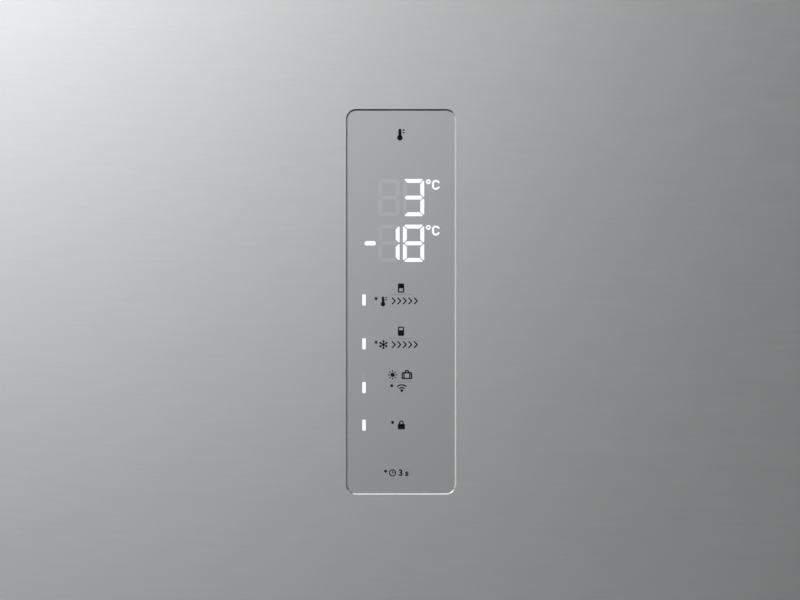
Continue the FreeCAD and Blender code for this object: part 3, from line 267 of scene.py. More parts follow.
def opal_diffuser():
    """Opal polycarbonate over lit LEDs: white, soft and slightly uneven."""
    made, tree, shader, place = start("opal_diffuser", "#f6f4ee", IOR=1.58, Emission_Strength=16.0)
    shader.inputs["Emission Color"].default_value = linear("#fff6e6")
    glow = add(tree, "ShaderNodeTexNoise", {"Scale": 1 / (12 * MM)}, {"Vector": place})
    vary(tree, shader, glow.outputs[0], ("#f2f0ea", "#faf8f2"), (0.35, 0.45))
    return made


def lit_segment():
    """A white LED behind its light guide: full white with a hint of unevenness."""
    made, tree, shader, place = start("lit_segment", "#3a3c3e", IOR=1.5, Emission_Strength=0.98)
    glow = add(tree, "ShaderNodeTexNoise", {"Scale": 1 / (3 * MM)}, {"Vector": place})
    ends = {"data_type": "RGBA", 6: linear("#f4f8ff"), 7: linear("#ffffff")}
    mix = add(tree, "ShaderNodeMix", ends, {0: glow.outputs[0]})
    tree.links.new(mix.outputs[2], shader.inputs["Emission Color"])
    vary(tree, shader, glow.outputs[0], None, (0.35, 0.45))
    return made


def unlit_segment():
    """The same light guide with its LED off: a shade paler than the film."""
    made, tree, shader, place = start("unlit_segment", "#a8a9aa", Metallic=1.0)
    flake = add(tree, "ShaderNodeTexNoise", {"Scale": 1 / (0.3 * MM)}, {"Vector": place})
    vary(tree, shader, flake.outputs[0], ("#a6a7a8", "#aaabac"), (0.53, 0.57))
    return made


def screen_print():
    """Charcoal ink printed on the film: matt, with the mesh of the screen."""
    made, tree, shader, place = start("screen_print", "#08090a", IOR=1.5, Specular_IOR_Level=0.08)
    mesh = add(tree, "ShaderNodeTexNoise", {"Scale": 1 / (0.2 * MM)}, {"Vector": place})
    vary(tree, shader, mesh.outputs[0], ("#060708", "#0c0d0e"), (0.6, 0.7))
    return made


finish_of_slot = {
    "brushed_steel": brushed_stainless(),
    "painted_steel": enamelled_steel(),
    "zinc_steel": galvanised_steel(),
    "insulation_foam": polyurethane_foam(),
    "white_liner": vacuum_formed_polystyrene(),
    "clear_plastic": clear_polystyrene(),
    "shelf_glass": tempered_glass(),
    "grey_trim": satin_abs(),
    "dark_plastic": moulded_charcoal_abs(),
    "grey_gasket": soft_pvc(),
    "display_film": printed_film(),
    "circuit_board": circuit_laminate(),
    "black_enamel": black_enamel(),
    "copper_coil": copper_tube(),
    "aluminium_coil": fin_aluminium(),
    "lamp_diffuser": opal_diffuser(),
}
edge_finish = sheared_edge()
lit = lit_segment()
unlit = unlit_segment()
ink = screen_print()


# Modelling by hand


def pick(piece):
    """Make a piece the only one selected, and active."""
    bpy.ops.object.select_all(action="DESELECT")
    piece.select_set(True)
    bpy.context.view_layer.objects.active = piece


def choose(piece, kind, test):
    """Enter edit mode with the edges or faces of a piece that pass a test selected."""
    pick(piece)
    bpy.ops.object.mode_set(mode="EDIT")
    bpy.ops.mesh.select_mode(type=kind)
    bpy.ops.mesh.select_all(action="DESELECT")
    shape = bmesh.from_edit_mesh(piece.data)
    for part in shape.edges if kind == "EDGE" else shape.faces:
        part.select_set(test(part))
    bmesh.update_edit_mesh(piece.data)


def leave():
    """Back to object mode."""
    bpy.ops.object.mode_set(mode="OBJECT")


def dress(piece, name, body, finish):
    """Name a finished piece, give it its material and let it ride on a body."""
    piece.name = name
    piece.data.name = name
    piece.data.materials.clear()
    piece.data.materials.append(finish)
    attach(piece, body)


def join(pieces):
    """Several pieces as one."""
    bpy.ops.object.select_all(action="DESELECT")
    for piece in pieces:
        piece.select_set(True)
    bpy.context.view_layer.objects.active = pieces[0]
    bpy.ops.object.join()
    return pieces[0]


def cut_out(piece, tool):
    """Cut one shape out of another."""
    pick(piece)
    bpy.ops.object.modifier_add(type="BOOLEAN")
    cut = piece.modifiers[-1]
    cut.operation = "DIFFERENCE"
    cut.solver = "EXACT"
    cut.object = tool
    bpy.ops.object.modifier_apply(modifier=cut.name)
    bpy.data.objects.remove(tool)
    return piece


def whole(node):
    """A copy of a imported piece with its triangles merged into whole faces, standing in for it."""
    piece = bpy.data.objects.new(node + "_shape", nodes[node].data.copy())
    bpy.context.scene.collection.objects.link(piece)
    pick(piece)
    bpy.ops.mesh.customdata_custom_splitnormals_clear()
    bpy.ops.object.mode_set(mode="EDIT")
    bpy.ops.mesh.select_all(action="SELECT")
    bpy.ops.mesh.remove_doubles(threshold=MERGE)
    bpy.ops.mesh.dissolve_limited(angle_limit=FLAT)
    leave()
    dress(piece, node + "_shape", body_of[node], finish_of_slot[slot_of[node]])
    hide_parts(node)
    return piece


def soften(piece, radius, segments=2):
    """Shade a piece smooth between its sharp edges, and round these where a radius is given."""
    pick(piece)
    bpy.ops.object.shade_smooth_by_angle(angle=SHARP)
    if radius:
        bpy.ops.object.modifier_add(type="BEVEL")
        bevel = piece.modifiers[-1]
        bevel.width = radius
        bevel.segments = segments
        bevel.limit_method = "ANGLE"
        bevel.angle_limit = SHARP
        bevel.harden_normals = True
        bpy.ops.object.modifier_apply(modifier=bevel.name)
        choose(piece, "FACE", lambda face: True)
        bpy.ops.mesh.dissolve_degenerate(threshold=SQUEEZED)
        leave()
    return piece


# Touch panel, measured from its centre. All that lies on it is set half into the film.
film_low, film_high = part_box("display_cover")
panel = Vector(((film_low.x + film_high.x) / 2, film_low.y, (film_low.z + film_high.z) / 2))

# Depths of the ink, of the light guides, and of the tools that cut through either
PRINT = 0.1 * MM
GUIDE = 0.2 * MM
THROUGH = 1.0 * MM

# Seven-segment figures
DIGIT_WIDTH = 11.6 * MM
DIGIT_HEIGHT = 20.3 * MM
DIGIT_STROKE = 2.15 * MM
LEVEL_LENGTH = 9.7 * MM
UPRIGHT_LENGTH = 8.6 * MM
UPRIGHT_RISE = 4.84 * MM
INNER_CUT = 0.7 * DIGIT_STROKE
MIDDLE_CUT = 0.42 * DIGIT_STROKE
OUTER_ROUND = 0.16 * MM
UNITS_CENTRE = 6.85 * MM
TENS_CENTRE = -6.55 * MM
ROW_CENTRES = (56.8 * MM, 31.9 * MM)
SHOWN = ((" ", "3"), ("1", "8"))
LIT_SEGMENTS = {" ": "", "1": "bc", "3": "abcdg", "8": "abcdefg"}

# Minus sign and bars beside the figures and the keys
MINUS_X = -16.8 * MM
BAR_X = -20.15 * MM
LIT_BAR_HEIGHTS = (1.0 * MM, -22.9 * MM, -46.7 * MM, -67.2 * MM)
UNLIT_BAR_HEIGHT = -40.8 * MM

# Printed lines: the signs' strokes, the small lettering and the dotted rules
LINE = 0.68 * MM
LETTER_SIZE = 4.7 * MM
LETTER_WEIGHT = 0.16 * MM
LETTER_DROP = 1.5 * MM
RULE_HEIGHTS = (4.0 * MM, -19.9 * MM, -43.6 * MM)
RULE_DOTS = 13
DOT_PITCH = 1.0 * MM

# Round shapes: sides of a full circle, and steps in a slab's round corner
CIRCLE_SIDES = 32
CORNER_STEPS = 5

# Sheared edge of the window: half of the window's reach, how far its faces turn to the front, depth and lip
WINDOW = Vector((31, 0, 106)) * MM
BEVEL_TURN = (0.3, 0.95)
STRIP_DEPTH = 0.1 * MM
LIP_CUT = 0.4 * MM

# Shares of a direction along an axis: lies along it, faces it squarely, more than not, or partly
STRAIGHT = 0.99
SQUARE = 0.9
MOSTLY = 0.7
PARTLY = 0.5


def slab(across, up, width, height, depth=PRINT, turn=0.0, centre=panel):
    """A thin block seen from the front, placed from the panel's centre or another, and turned about it."""
    bpy.ops.object.select_all(action="DESELECT")
    bpy.ops.mesh.primitive_cube_add(
        size=1,
        location=centre + Vector((across, 0, up)),
        rotation=(0, -turn, 0),
        scale=(width, depth, height),
    )
    bpy.ops.object.transform_apply()
    return bpy.context.object


def disc(across, up, radius, depth=PRINT, centre=panel):
    """A thin round plate seen from the front."""
    bpy.ops.object.select_all(action="DESELECT")
    bpy.ops.mesh.primitive_cylinder_add(
        vertices=CIRCLE_SIDES,
        radius=radius,
        depth=depth,
        location=centre + Vector((across, 0, up)),
        rotation=(math.pi / 2, 0, 0),
    )
    bpy.ops.object.transform_apply()
    return bpy.context.object


def cut_corners(piece, size, segments=1, test=lambda middle: True):
    """Chamfer or round the corners of a slab as seen from the front."""

    def corner(edge):
        first, second = (vert.co for vert in edge.verts)
        along = second - first
        return abs(along.y) > STRAIGHT * along.length and test((first + second) / 2)

    choose(piece, "EDGE", corner)
    bpy.ops.mesh.bevel(offset=size, segments=segments, affect="EDGES", clamp_overlap=True)
    leave()
    return piece


def rounded(across, up, width, height, radius, depth=PRINT):
    """A slab with round corners."""
    return cut_corners(slab(across, up, width, height, depth), radius, CORNER_STEPS)


def outline(across, up, width, height, radius, line=LINE, depth=PRINT):
    """A frame with round corners."""
    inner = max(radius - line, 0.2 * line)
    hole = rounded(across, up, width - 2 * line, height - 2 * line, inner, THROUGH)
    return cut_out(rounded(across, up, width, height, radius, depth), hole)


def ring(across, up, radius, line=LINE, depth=PRINT):
    """A flat ring."""
    return cut_out(disc(across, up, radius, depth), disc(across, up, radius - line, THROUGH))


def pointing(turn):
    """A direction seen from the front, turned from upright."""
    return Vector((-math.sin(turn), math.cos(turn)))


def digit(shown, across, up):
    """The lit and unlit segments of one seven-segment figure."""
    half_x = (DIGIT_WIDTH - DIGIT_STROKE) / 2
    half_z = (DIGIT_HEIGHT - DIGIT_STROKE) / 2
    places = {
        "a": (0, half_z, LEVEL_LENGTH, DIGIT_STROKE),
        "b": (half_x, UPRIGHT_RISE, DIGIT_STROKE, UPRIGHT_LENGTH),
        "c": (half_x, -UPRIGHT_RISE, DIGIT_STROKE, UPRIGHT_LENGTH),
        "d": (0, -half_z, LEVEL_LENGTH, DIGIT_STROKE),
        "e": (-half_x, -UPRIGHT_RISE, DIGIT_STROKE, UPRIGHT_LENGTH),
        "f": (-half_x, UPRIGHT_RISE, DIGIT_STROKE, UPRIGHT_LENGTH),
        "g": (0, 0, LEVEL_LENGTH, DIGIT_STROKE),
    }
    bright, dim = [], []
    for name, (x, z, width, height) in places.items():
        piece = slab(across + x, up + z, width, height, GUIDE)
        inward = Vector((-x, 0, 0)) if width < height else Vector((0, 0, -z))
        middle = panel + Vector((across + x, 0, up + z))
        if name == "g":
            cut_corners(piece, MIDDLE_CUT)
        else:
            cut_corners(piece, INNER_CUT, 1, lambda corner: (corner - middle).dot(inward) > 0)
        cut_corners(piece, OUTER_ROUND, 2)
        (bright if name in LIT_SEGMENTS[shown] else dim).append(piece)
    return bright, dim


def celsius(row_top):
    """A degree ring and a C with round corners, at the top right of a row of figures."""
    degree = ring(14.9 * MM, row_top - 1.5 * MM, radius=1.35 * MM, line=0.85 * MM, depth=GUIDE)
    middle = row_top - 3.2 * MM
    letter = outline(19.0 * MM, middle, 4.2 * MM, 5.4 * MM, radius=1.9 * MM, line=1.05 * MM, depth=GUIDE)
    mouth = slab(20.6 * MM, middle, width=2.2 * MM, height=1.9 * MM, depth=THROUGH)
    return [degree, cut_out(letter, mouth)]


def asterisk(across, up):
    """A small star of three crossed strokes."""
    turns = [math.radians(turn) for turn in (0, 60, 120)]
    return [slab(across, up, width=0.5 * MM, height=1.8 * MM, turn=turn) for turn in turns]


def appliance(across, up, upper):
    """A tall cabinet with two compartments, the upper or the lower one filled."""
    height = 2.3 * MM if upper else 2.7 * MM
    middle = up + 1.35 * MM if upper else up - 1.15 * MM
    return [
        outline(across, up, width=3.4 * MM, height=5.0 * MM, radius=0.6 * MM),
        slab(across, up + 0.2 * MM, width=3.0 * MM, height=LINE),
        slab(across, middle, width=2.8 * MM, height=height),
    ]


def thermometer(across, up, size=1.0):
    """A bulb under a tube, with two marks beside it."""
    unit = size * MM
    pieces = [
        rounded(across, up + 0.7 * unit, width=1.4 * unit, height=3.8 * unit, radius=0.65 * unit),
        disc(across, up - 1.5 * unit, radius=1.25 * unit),
    ]
    for rise in (2.0 * unit, 0.8 * unit):
        pieces.append(slab(across + 1.7 * unit, up + rise, width=1.0 * unit, height=0.56 * unit))
    return pieces


def chevrons(across, up, count):
    """A row of arrow heads that point right."""
    pieces = []
    for step in range(count):
        left = across + step * 3.0 * MM
        for side in (1, -1):
            turn = -side * math.radians(45)
            pieces.append(slab(left, up + side * 0.85 * MM, width=2.6 * MM, height=LINE, turn=turn))
    return pieces


def snowflake(across, up):
    """Three crossed strokes with two barbs at each tip."""
    pieces = []
    for index in range(6):
        turn = index * math.radians(60)
        if index < 3:
            pieces.append(slab(across, up, width=0.6 * MM, height=4.8 * MM, turn=turn))
        for side in (1, -1):
            lean = turn + side * math.radians(50)
            barb = pointing(turn) * 1.5 * MM + pointing(lean) * 0.4 * MM
            pieces.append(slab(across + barb.x, up + barb.y, width=0.5 * MM, height=0.9 * MM, turn=lean))
    return pieces


def sun(across, up):
    """A disc with eight rays."""
    pieces = [disc(across, up, radius=1.2 * MM)]
    for index in range(8):
        turn = index * math.radians(45)
        ray = pointing(turn) * 2.1 * MM
        pieces.append(slab(across + ray.x, up + ray.y, width=0.6 * MM, height=0.9 * MM, turn=turn))
    return pieces


def suitcase(across, up):
    """A case with a handle and two straps."""
    pieces = [
        outline(across, up - 0.4 * MM, width=5.8 * MM, height=3.8 * MM, radius=0.7 * MM),
        outline(across, up + 1.7 * MM, width=2.4 * MM, height=1.8 * MM, radius=0.6 * MM),
    ]
    for side in (-1, 1):
        pieces.append(slab(across + side * 1.6 * MM, up - 0.4 * MM, width=LINE, height=3.4 * MM))
    return pieces


def radio_waves(across, up):
    """Two arcs that spread upwards from a dot: rings, with all but a wedge of them cut away."""
    centre = up - 1.6 * MM
    arcs = join([ring(across, centre, radius * MM) for radius in (2.3, 3.8)])
    for side in (-1, 1):
        turn = side * math.radians(44)
        below = pointing(turn) * -6 * MM
        cut_out(arcs, slab(across + below.x, centre + below.y, 30 * MM, 12 * MM, THROUGH, turn))
    return [arcs, disc(across, up - 1.2 * MM, radius=0.75 * MM)]


def padlock(across, up):
    """A body under a shackle."""
    body = rounded(across, up - 0.8 * MM, width=3.9 * MM, height=2.9 * MM, radius=0.5 * MM)
    shackle = outline(across, up + 0.9 * MM, width=2.6 * MM, height=3.2 * MM, radius=1.2 * MM)
    return [body, shackle]


def clock(across, up):
    """A dial with two hands."""
    upright = slab(across, up + 0.45 * MM, width=0.5 * MM, height=1.2 * MM)
    level = slab(across + 0.4 * MM, up, width=1.1 * MM, height=0.5 * MM)
    return [ring(across, up, radius=1.95 * MM, line=0.58 * MM), upright, level]


def seconds(across, up):
    """The figure 3 and the sign for seconds."""
    bpy.ops.object.select_all(action="DESELECT")
    bpy.ops.object.text_add()
    text = bpy.context.object
    text.data.body = "3 s"
    text.data.size = LETTER_SIZE
    text.data.offset = LETTER_WEIGHT
    text.data.extrude = PRINT / 2
    text.data.resolution_u = 4
    bpy.ops.object.convert(target="MESH")
    text = bpy.context.object
    text.location = panel + Vector((across, 0, up - LETTER_DROP))
    text.rotation_euler = (math.pi / 2, 0, 0)
    bpy.ops.object.transform_apply()
    return [text]


# Each printed sign with its place in millimetres right of and above the panel's centre, and other values
SIGNS = (
    (thermometer, -0.6, 91.2, 1.2),
    (appliance, 0, 7.5, True),
    (asterisk, -13.6, 1.8),
    (thermometer, -9.8, 0.3),
    (chevrons, -4.0, 0.5, 5),
    (appliance, 0, -16.0, False),
    (asterisk, -13.6, -22.0),
    (snowflake, -9.6, -23.3),
    (chevrons, -4.0, -23.3, 5),
    (sun, -4.6, -39.8),
    (suitcase, 3.2, -39.8),
    (asterisk, -5.0, -45.7),
    (radio_waves, 0.4, -47.1),
    (asterisk, -4.6, -65.7),
    (padlock, 0.2, -67.2),
    (asterisk, -8.4, -92.3),
    (clock, -4.6, -93.2),
    (seconds, -1.4, -93.2),
)


def touch_panel():
    """Figures, bars and signs on the film."""
    bright, dim, marks = [], [], []
    for row, up in zip(SHOWN, ROW_CENTRES):
        for shown, across in zip(row, (TENS_CENTRE, UNITS_CENTRE)):
            on, off = digit(shown, across, up)
            bright += on
            dim += off
        bright += celsius(up + DIGIT_HEIGHT / 2)
    bright.append(rounded(MINUS_X, ROW_CENTRES[1], 6.2 * MM, 2.4 * MM, radius=1.1 * MM, depth=GUIDE))
    for up in LIT_BAR_HEIGHTS:
        bright.append(rounded(BAR_X, up, 1.9 * MM, 6.05 * MM, radius=0.5 * MM, depth=GUIDE))
    dim.append(rounded(BAR_X, UNLIT_BAR_HEIGHT, 1.2 * MM, 4.0 * MM, radius=0.4 * MM, depth=GUIDE))
    for sign, across, up, *details in SIGNS:
        marks += sign(across * MM, up * MM, *details)
    for up in RULE_HEIGHTS:
        for dot in range(RULE_DOTS):
            across = (dot - RULE_DOTS // 2) * DOT_PITCH
            marks.append(slab(across, up, width=0.5 * MM, height=0.16 * MM))
    dress(join(bright), "temperature_digits", "fridge_door", lit)
    dress(join(dim), "unlit_digits", "fridge_door", unlit)
    dress(join(marks), "panel_marks", "fridge_door", ink)


# Pieces that only need their edges rounded, as the fold, the mould or the grinding leaves them: radii in mm
EDGES = {
    "upper_drawer_skin": 0, "lower_drawer_skin": 0, "door_top_cap": 1.0, "door_bottom_cap": 1.0,
    "upper_drawer_grip": 0.8, "lower_drawer_grip": 0.8, "plinth": 0.8, "side_panels": 0.35, "top_panel": 0.35,
    "front_bars": 0.5, "base_pan": 0.4, "door_inner_panel": 1.6, "fridge_liner": 0.9, "freezer_liner": 0.9,
    "air_duct": 1.2, "evaporator_cover": 0.7, "damper_flap": 0.4, "glass_shelves": 0.8, "shelf_trims": 1.0,
    "lamp_lens": 2.0, "drain_pan": 0.8, "hinge_cover": 2.5, "control_box": 1.8, "cord_gland": 0.5,
    "upper_hinge": 0.4, "lower_hinge": 0.4, "hinge_screws": 0.4, "foot_left": 0.7, "foot_right": 0.7,
    "evaporator_fan": 0.3, "condenser_fan": 0.3, "outer_rails": 0.3, "upper_drawer_inner_rails": 0.3,
    "lower_drawer_inner_rails": 0.3, "upper_drawer_middle_rails": 0.3, "lower_drawer_middle_rails": 0.3,
}
ACROSS, DEEP, UP = Vector((1, 0, 0)), Vector((0, 1, 0)), Vector((0, 0, 1))

# Seals: where the bellows groove runs, measured from the back, and its depth
BELLOWS_FRONT = 4.6 * MM
BELLOWS_BACK = 2.2 * MM
BELLOWS_DEPTH = 1.6 * MM

# Tubs and shelves: the bead round a rim, and how deep the crisper's handle is
BEAD_HEIGHT = 7 * MM
BEAD_RISE = 1.0 * MM
HANDLE_DEPTH = 20 * MM

# Baskets: ribs along the floor, and the height up to which a face is part of the floor
RIBS = 7
RIB_PITCH = 50 * MM
RIB_WIDTH = 10 * MM
RIB_HEIGHT = 1.5 * MM
FLOOR_TOP = 5 * MM

# Drawer linings: half the width of the raised field, its distance from top and bottom, its slope and rise
FIELD_REACH = 195 * MM
FIELD_MARGIN = 44 * MM
FIELD_SLOPE = 5 * MM
FIELD_RISE = 4 * MM

# Rollers: the groove round the tread, and the radius beyond which a face isn't part of the bore
TREAD_GROOVE = 4 * MM
TREAD_DEPTH = 1.0 * MM
BORE_REACH = 8 * MM

# Rear sheet: swages, how far they end from the cover below and the top, and the room for them in the foam
SHEET_REACH = 2 * MM
SWAGE_PLACES = (-200 * MM, 0, 200 * MM)
SWAGE_WIDTH = 44 * MM
SWAGE_DEPTH = 4 * MM
SWAGE_FOOT = 120 * MM
SWAGE_HEAD = 90 * MM
SWAGE_ROOM = 12 * MM

# Foam plugs: places, size, a dished face, and how far they lie below the sheet
PLUG_PLACES = (-100 * MM, 100 * MM)
PLUG_RISE = 60 * MM
PLUG_RADIUS = 16 * MM
PLUG_DEPTH = 2.4 * MM
PLUG_PLAY = 0.05 * MM
PLUG_SINK = 0.2 * MM
DISH_RIM = 4 * MM
DISH_DEPTH = 0.9 * MM

# Flush screws: rows, margins, head, cross recess, and the turn from one screw to the next
SHEET_ROWS = 5
SHEET_MARGIN = 22 * MM
COVER_MARGIN = 12 * MM
SIDE_MARGIN = 14 * MM
HEAD_RADIUS = 4.5 * MM
HEAD_DEPTH = 1.6 * MM
HEAD_PLAY = 0.02 * MM
HEAD_SINK = 0.15 * MM
CROSS_LENGTH = 5.2 * MM
CROSS_WIDTH = 1.1 * MM
CROSS_DEPTH = 1.6 * MM
SCREW_TURN = 0.7
HOLE_DEPTH = 6 * MM


def split(piece, axis, places):
    """Cut new edges round a piece at places along an axis."""
    for place in places:
        choose(piece, "FACE", lambda face: True)
        bpy.ops.mesh.bisect(plane_co=axis * place, plane_no=axis)
        leave()


def raise_faces(piece, rise, test):
    """Raise, or sink, the faces of a piece that pass a test."""
    choose(piece, "FACE", test)
    bpy.ops.mesh.extrude_region_shrink_fatten(TRANSFORM_OT_shrink_fatten={"value": rise})
    leave()


def band(piece, axis, low, high, rise, test):
    """Raise, or sink, a band of a piece between two places along an axis."""
    split(piece, axis, (low, high))
    raise_faces(piece, rise, lambda face: low < face.calc_center_median().dot(axis) < high and test(face))


def window_edge(skin):
    """Let the sheared edge round the window into the door's skin, as a thin strip with its own finish."""

    def bevelled(face):
        near = face.calc_center_median() - panel
        turned = BEVEL_TURN[0] < -face.normal.y < BEVEL_TURN[1]
        return abs(near.x) < WINDOW.x and abs(near.z) < WINDOW.z and turned

    def lip(edge):
        at_film = all(abs(vert.co.y - panel.y) < MERGE for vert in edge.verts)
        return at_film and any(bevelled(face) for face in edge.link_faces)

    choose(skin, "EDGE", lip)
    bpy.ops.mesh.bevel(offset=LIP_CUT, segments=1, affect="EDGES", clamp_overlap=True)
    leave()
    choose(skin, "FACE", bevelled)
    bpy.ops.mesh.duplicate()
    bpy.ops.mesh.separate(type="SELECTED")
    leave()
    strip = next(piece for piece in bpy.context.selected_objects if piece != skin)
    raise_faces(skin, -STRIP_DEPTH, bevelled)
    pick(strip)
    bpy.ops.object.modifier_add(type="SOLIDIFY")
    strip.modifiers[-1].thickness = STRIP_DEPTH
    bpy.ops.object.modifier_apply(modifier=strip.modifiers[-1].name)
    soften(skin, 0)
    soften(strip, 0)
    dress(strip, "window_edge", "fridge_door", edge_finish)
    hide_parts("door_skin")


def gasket(node):
    """A soft seal with a bellows groove along both of its sides."""
    piece = whole(node)
    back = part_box(node)[1].y
    groove = (back - BELLOWS_FRONT, back - BELLOWS_BACK)
    band(piece, DEEP, *groove, -BELLOWS_DEPTH, lambda face: abs(face.normal.y) < PARTLY)
    soften(piece, 0.7 * MM)


def tops(piece):
    """The height that each of a piece's separate solids reaches."""
    shape = bmesh.new()
    shape.from_mesh(piece.data)
    waiting = set(shape.verts)
    heights = []
    while waiting:
        solid = [waiting.pop()]
        for vert in solid:
            beside = {edge.other_vert(vert) for edge in vert.link_edges} & waiting
            waiting -= beside
            solid.extend(beside)
        heights.append(max(vert.co.z for vert in solid))
    shape.free()
    return sorted(heights)


def rimmed(node, test):
    """A clear tub, or a set of shelves, with a bead round the outside of each rim."""
    piece = whole(node)
    low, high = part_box(node)
    middle = (low + high) / 2

    def outside(face):
        out = face.calc_center_median() - middle
        return abs(face.normal.z) < PARTLY and out.dot(face.normal) > 0 and test(face)

    for top in tops(piece):
        band(piece, UP, top - BEAD_HEIGHT, top, BEAD_RISE, outside)
    return piece


def door_shelves():
    """The door's shelves, beaded except where they lie against the lining."""
    soften(rimmed("door_shelves", lambda face: face.normal.y > -PARTLY), 0.7 * MM)


def crisper():
    """The crisper, beaded except at the front with its handle."""
    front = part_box("crisper")[0].y

    def behind_handle(face):
        return face.normal.y > -PARTLY and face.calc_center_median().y > front + HANDLE_DEPTH

    soften(rimmed("crisper", behind_handle), 0.7 * MM)


def basket(node):
    """A freezer basket with a beaded front and back and ribs along its floor."""
    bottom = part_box(node)[0].z
    piece = rimmed(node, lambda face: abs(face.normal.y) > MOSTLY)

    def floor(face):
        return face.normal.z > SQUARE and face.calc_center_median().z < bottom + FLOOR_TOP

    for index in range(RIBS):
        place = (index - RIBS // 2) * RIB_PITCH
        band(piece, ACROSS, place - RIB_WIDTH / 2, place + RIB_WIDTH / 2, RIB_HEIGHT, floor)
    soften(piece, 0.3 * MM, 1)


def drawer_lining(node):
    """A drawer's inner panel with a raised field inside the seal."""
    piece = whole(node)
    low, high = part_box(node)
    bottom, top = low.z + FIELD_MARGIN, high.z - FIELD_MARGIN
    split(piece, ACROSS, (-FIELD_REACH, FIELD_REACH))
    split(piece, UP, (bottom, top))

    def field(face):
        middle = face.calc_center_median()
        return face.normal.y > SQUARE and abs(middle.x) < FIELD_REACH and bottom < middle.z < top

    choose(piece, "FACE", field)
    bpy.ops.mesh.inset(thickness=FIELD_SLOPE, depth=FIELD_RISE)
    leave()
    soften(piece, 1.2 * MM, 3)


def roller(node):
    """A roller with a groove round its tread."""
    piece = whole(node)
    low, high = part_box(node)
    middle = (low + high) / 2

    def tread(face):
        out = face.calc_center_median() - middle
        return abs(face.normal.x) < PARTLY and out.yz.length > BORE_REACH

    band(piece, ACROSS, middle.x - TREAD_GROOVE / 2, middle.x + TREAD_GROOVE / 2, -TREAD_DEPTH, tread)
    soften(piece, 0.45 * MM)


def press_swage(sheet, span, height):
    """Press a long trough into the rear sheet, on both of its faces."""
    split(sheet, ACROSS, span)
    split(sheet, UP, height)
    for outward in (1, -1):

        def trough(face):
            middle = face.calc_center_median()
            inside = span[0] < middle.x < span[1] and height[0] < middle.z < height[1]
            return inside and middle.y > cad_high.y - SHEET_REACH and face.normal.y * outward > SQUARE

        choose(sheet, "FACE", trough)
        bpy.ops.mesh.inset(thickness=SWAGE_DEPTH, depth=-outward * SWAGE_DEPTH)
        leave()


def flush_screw(across, up, turn):
    """A cross-head screw whose head lies in a hole of the rear sheet."""
    surface = Vector((0, cad_high.y, 0))
    centre = Vector((0, cad_high.y - HEAD_DEPTH / 2 - HEAD_SINK, 0))
    head = soften(disc(across, up, HEAD_RADIUS - HEAD_PLAY, HEAD_DEPTH, centre), 0.4 * MM, 3)
    for quarter in (0, math.pi / 2):
        cut_out(head, slab(across, up, CROSS_LENGTH, CROSS_WIDTH, CROSS_DEPTH, turn + quarter, surface))
    return head


def foam_plug(across, up):
    """A dished plug in a hole through which the foam was poured."""
    centre = Vector((0, cad_high.y - PLUG_DEPTH / 2 - PLUG_SINK, 0))
    plug = disc(across, up, PLUG_RADIUS - PLUG_PLAY, PLUG_DEPTH, centre)
    choose(plug, "FACE", lambda face: face.normal.y > SQUARE)
    bpy.ops.mesh.inset(thickness=DISH_RIM, depth=-DISH_DEPTH)
    leave()
    return soften(plug, 0.35 * MM)


def rear():
    """The back panel with its swages, the cover below it, flush screws round both, and the foam behind."""
    sheet_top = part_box("back_panel")[1].z
    cover_low, cover_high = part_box("machine_cover")
    sheet, cover, foam = whole("back_panel"), whole("machine_cover"), whole("cabinet_foam")
    surface = Vector((0, cad_high.y, 0))
    foot, head = cover_high.z + SWAGE_FOOT, sheet_top - SWAGE_HEAD
    for across in SWAGE_PLACES:
        press_swage(sheet, (across - SWAGE_WIDTH / 2, across + SWAGE_WIDTH / 2), (foot, head))
        cut_out(foam, slab(across, (foot + head) / 2, SWAGE_WIDTH, head - foot, SWAGE_ROOM, 0.0, surface))
    plugs, screws = [], []
    for across in PLUG_PLACES:
        up = cover_high.z + PLUG_RISE
        for piece in (sheet, foam):
            cut_out(piece, disc(across, up, PLUG_RADIUS, HOLE_DEPTH, surface))
        plugs.append(foam_plug(across, up))
    pitch = (sheet_top - cover_high.z - 2 * SHEET_MARGIN) / (SHEET_ROWS - 1)
    sheet_rows = [cover_high.z + SHEET_MARGIN + row * pitch for row in range(SHEET_ROWS)]
    cover_rows = [cover_low.z + COVER_MARGIN, cover_high.z - COVER_MARGIN]
    for piece, rows in ((sheet, sheet_rows), (cover, cover_rows)):
        for side in (-1, 1):
            across = side * (cover_high.x - SIDE_MARGIN)
            for up in rows:
                cut_out(piece, disc(across, up, HEAD_RADIUS, HOLE_DEPTH, surface))
                screws.append(flush_screw(across, up, len(screws) * SCREW_TURN))
    dress(join(plugs), "foam_plugs", "cabinet", finish_of_slot["dark_plastic"])
    dress(join(screws), "rear_screws", "cabinet", finish_of_slot["black_enamel"])
    soften(sheet, 0.35 * MM)
    soften(cover, 0.25 * MM)
    soften(foam, 0)


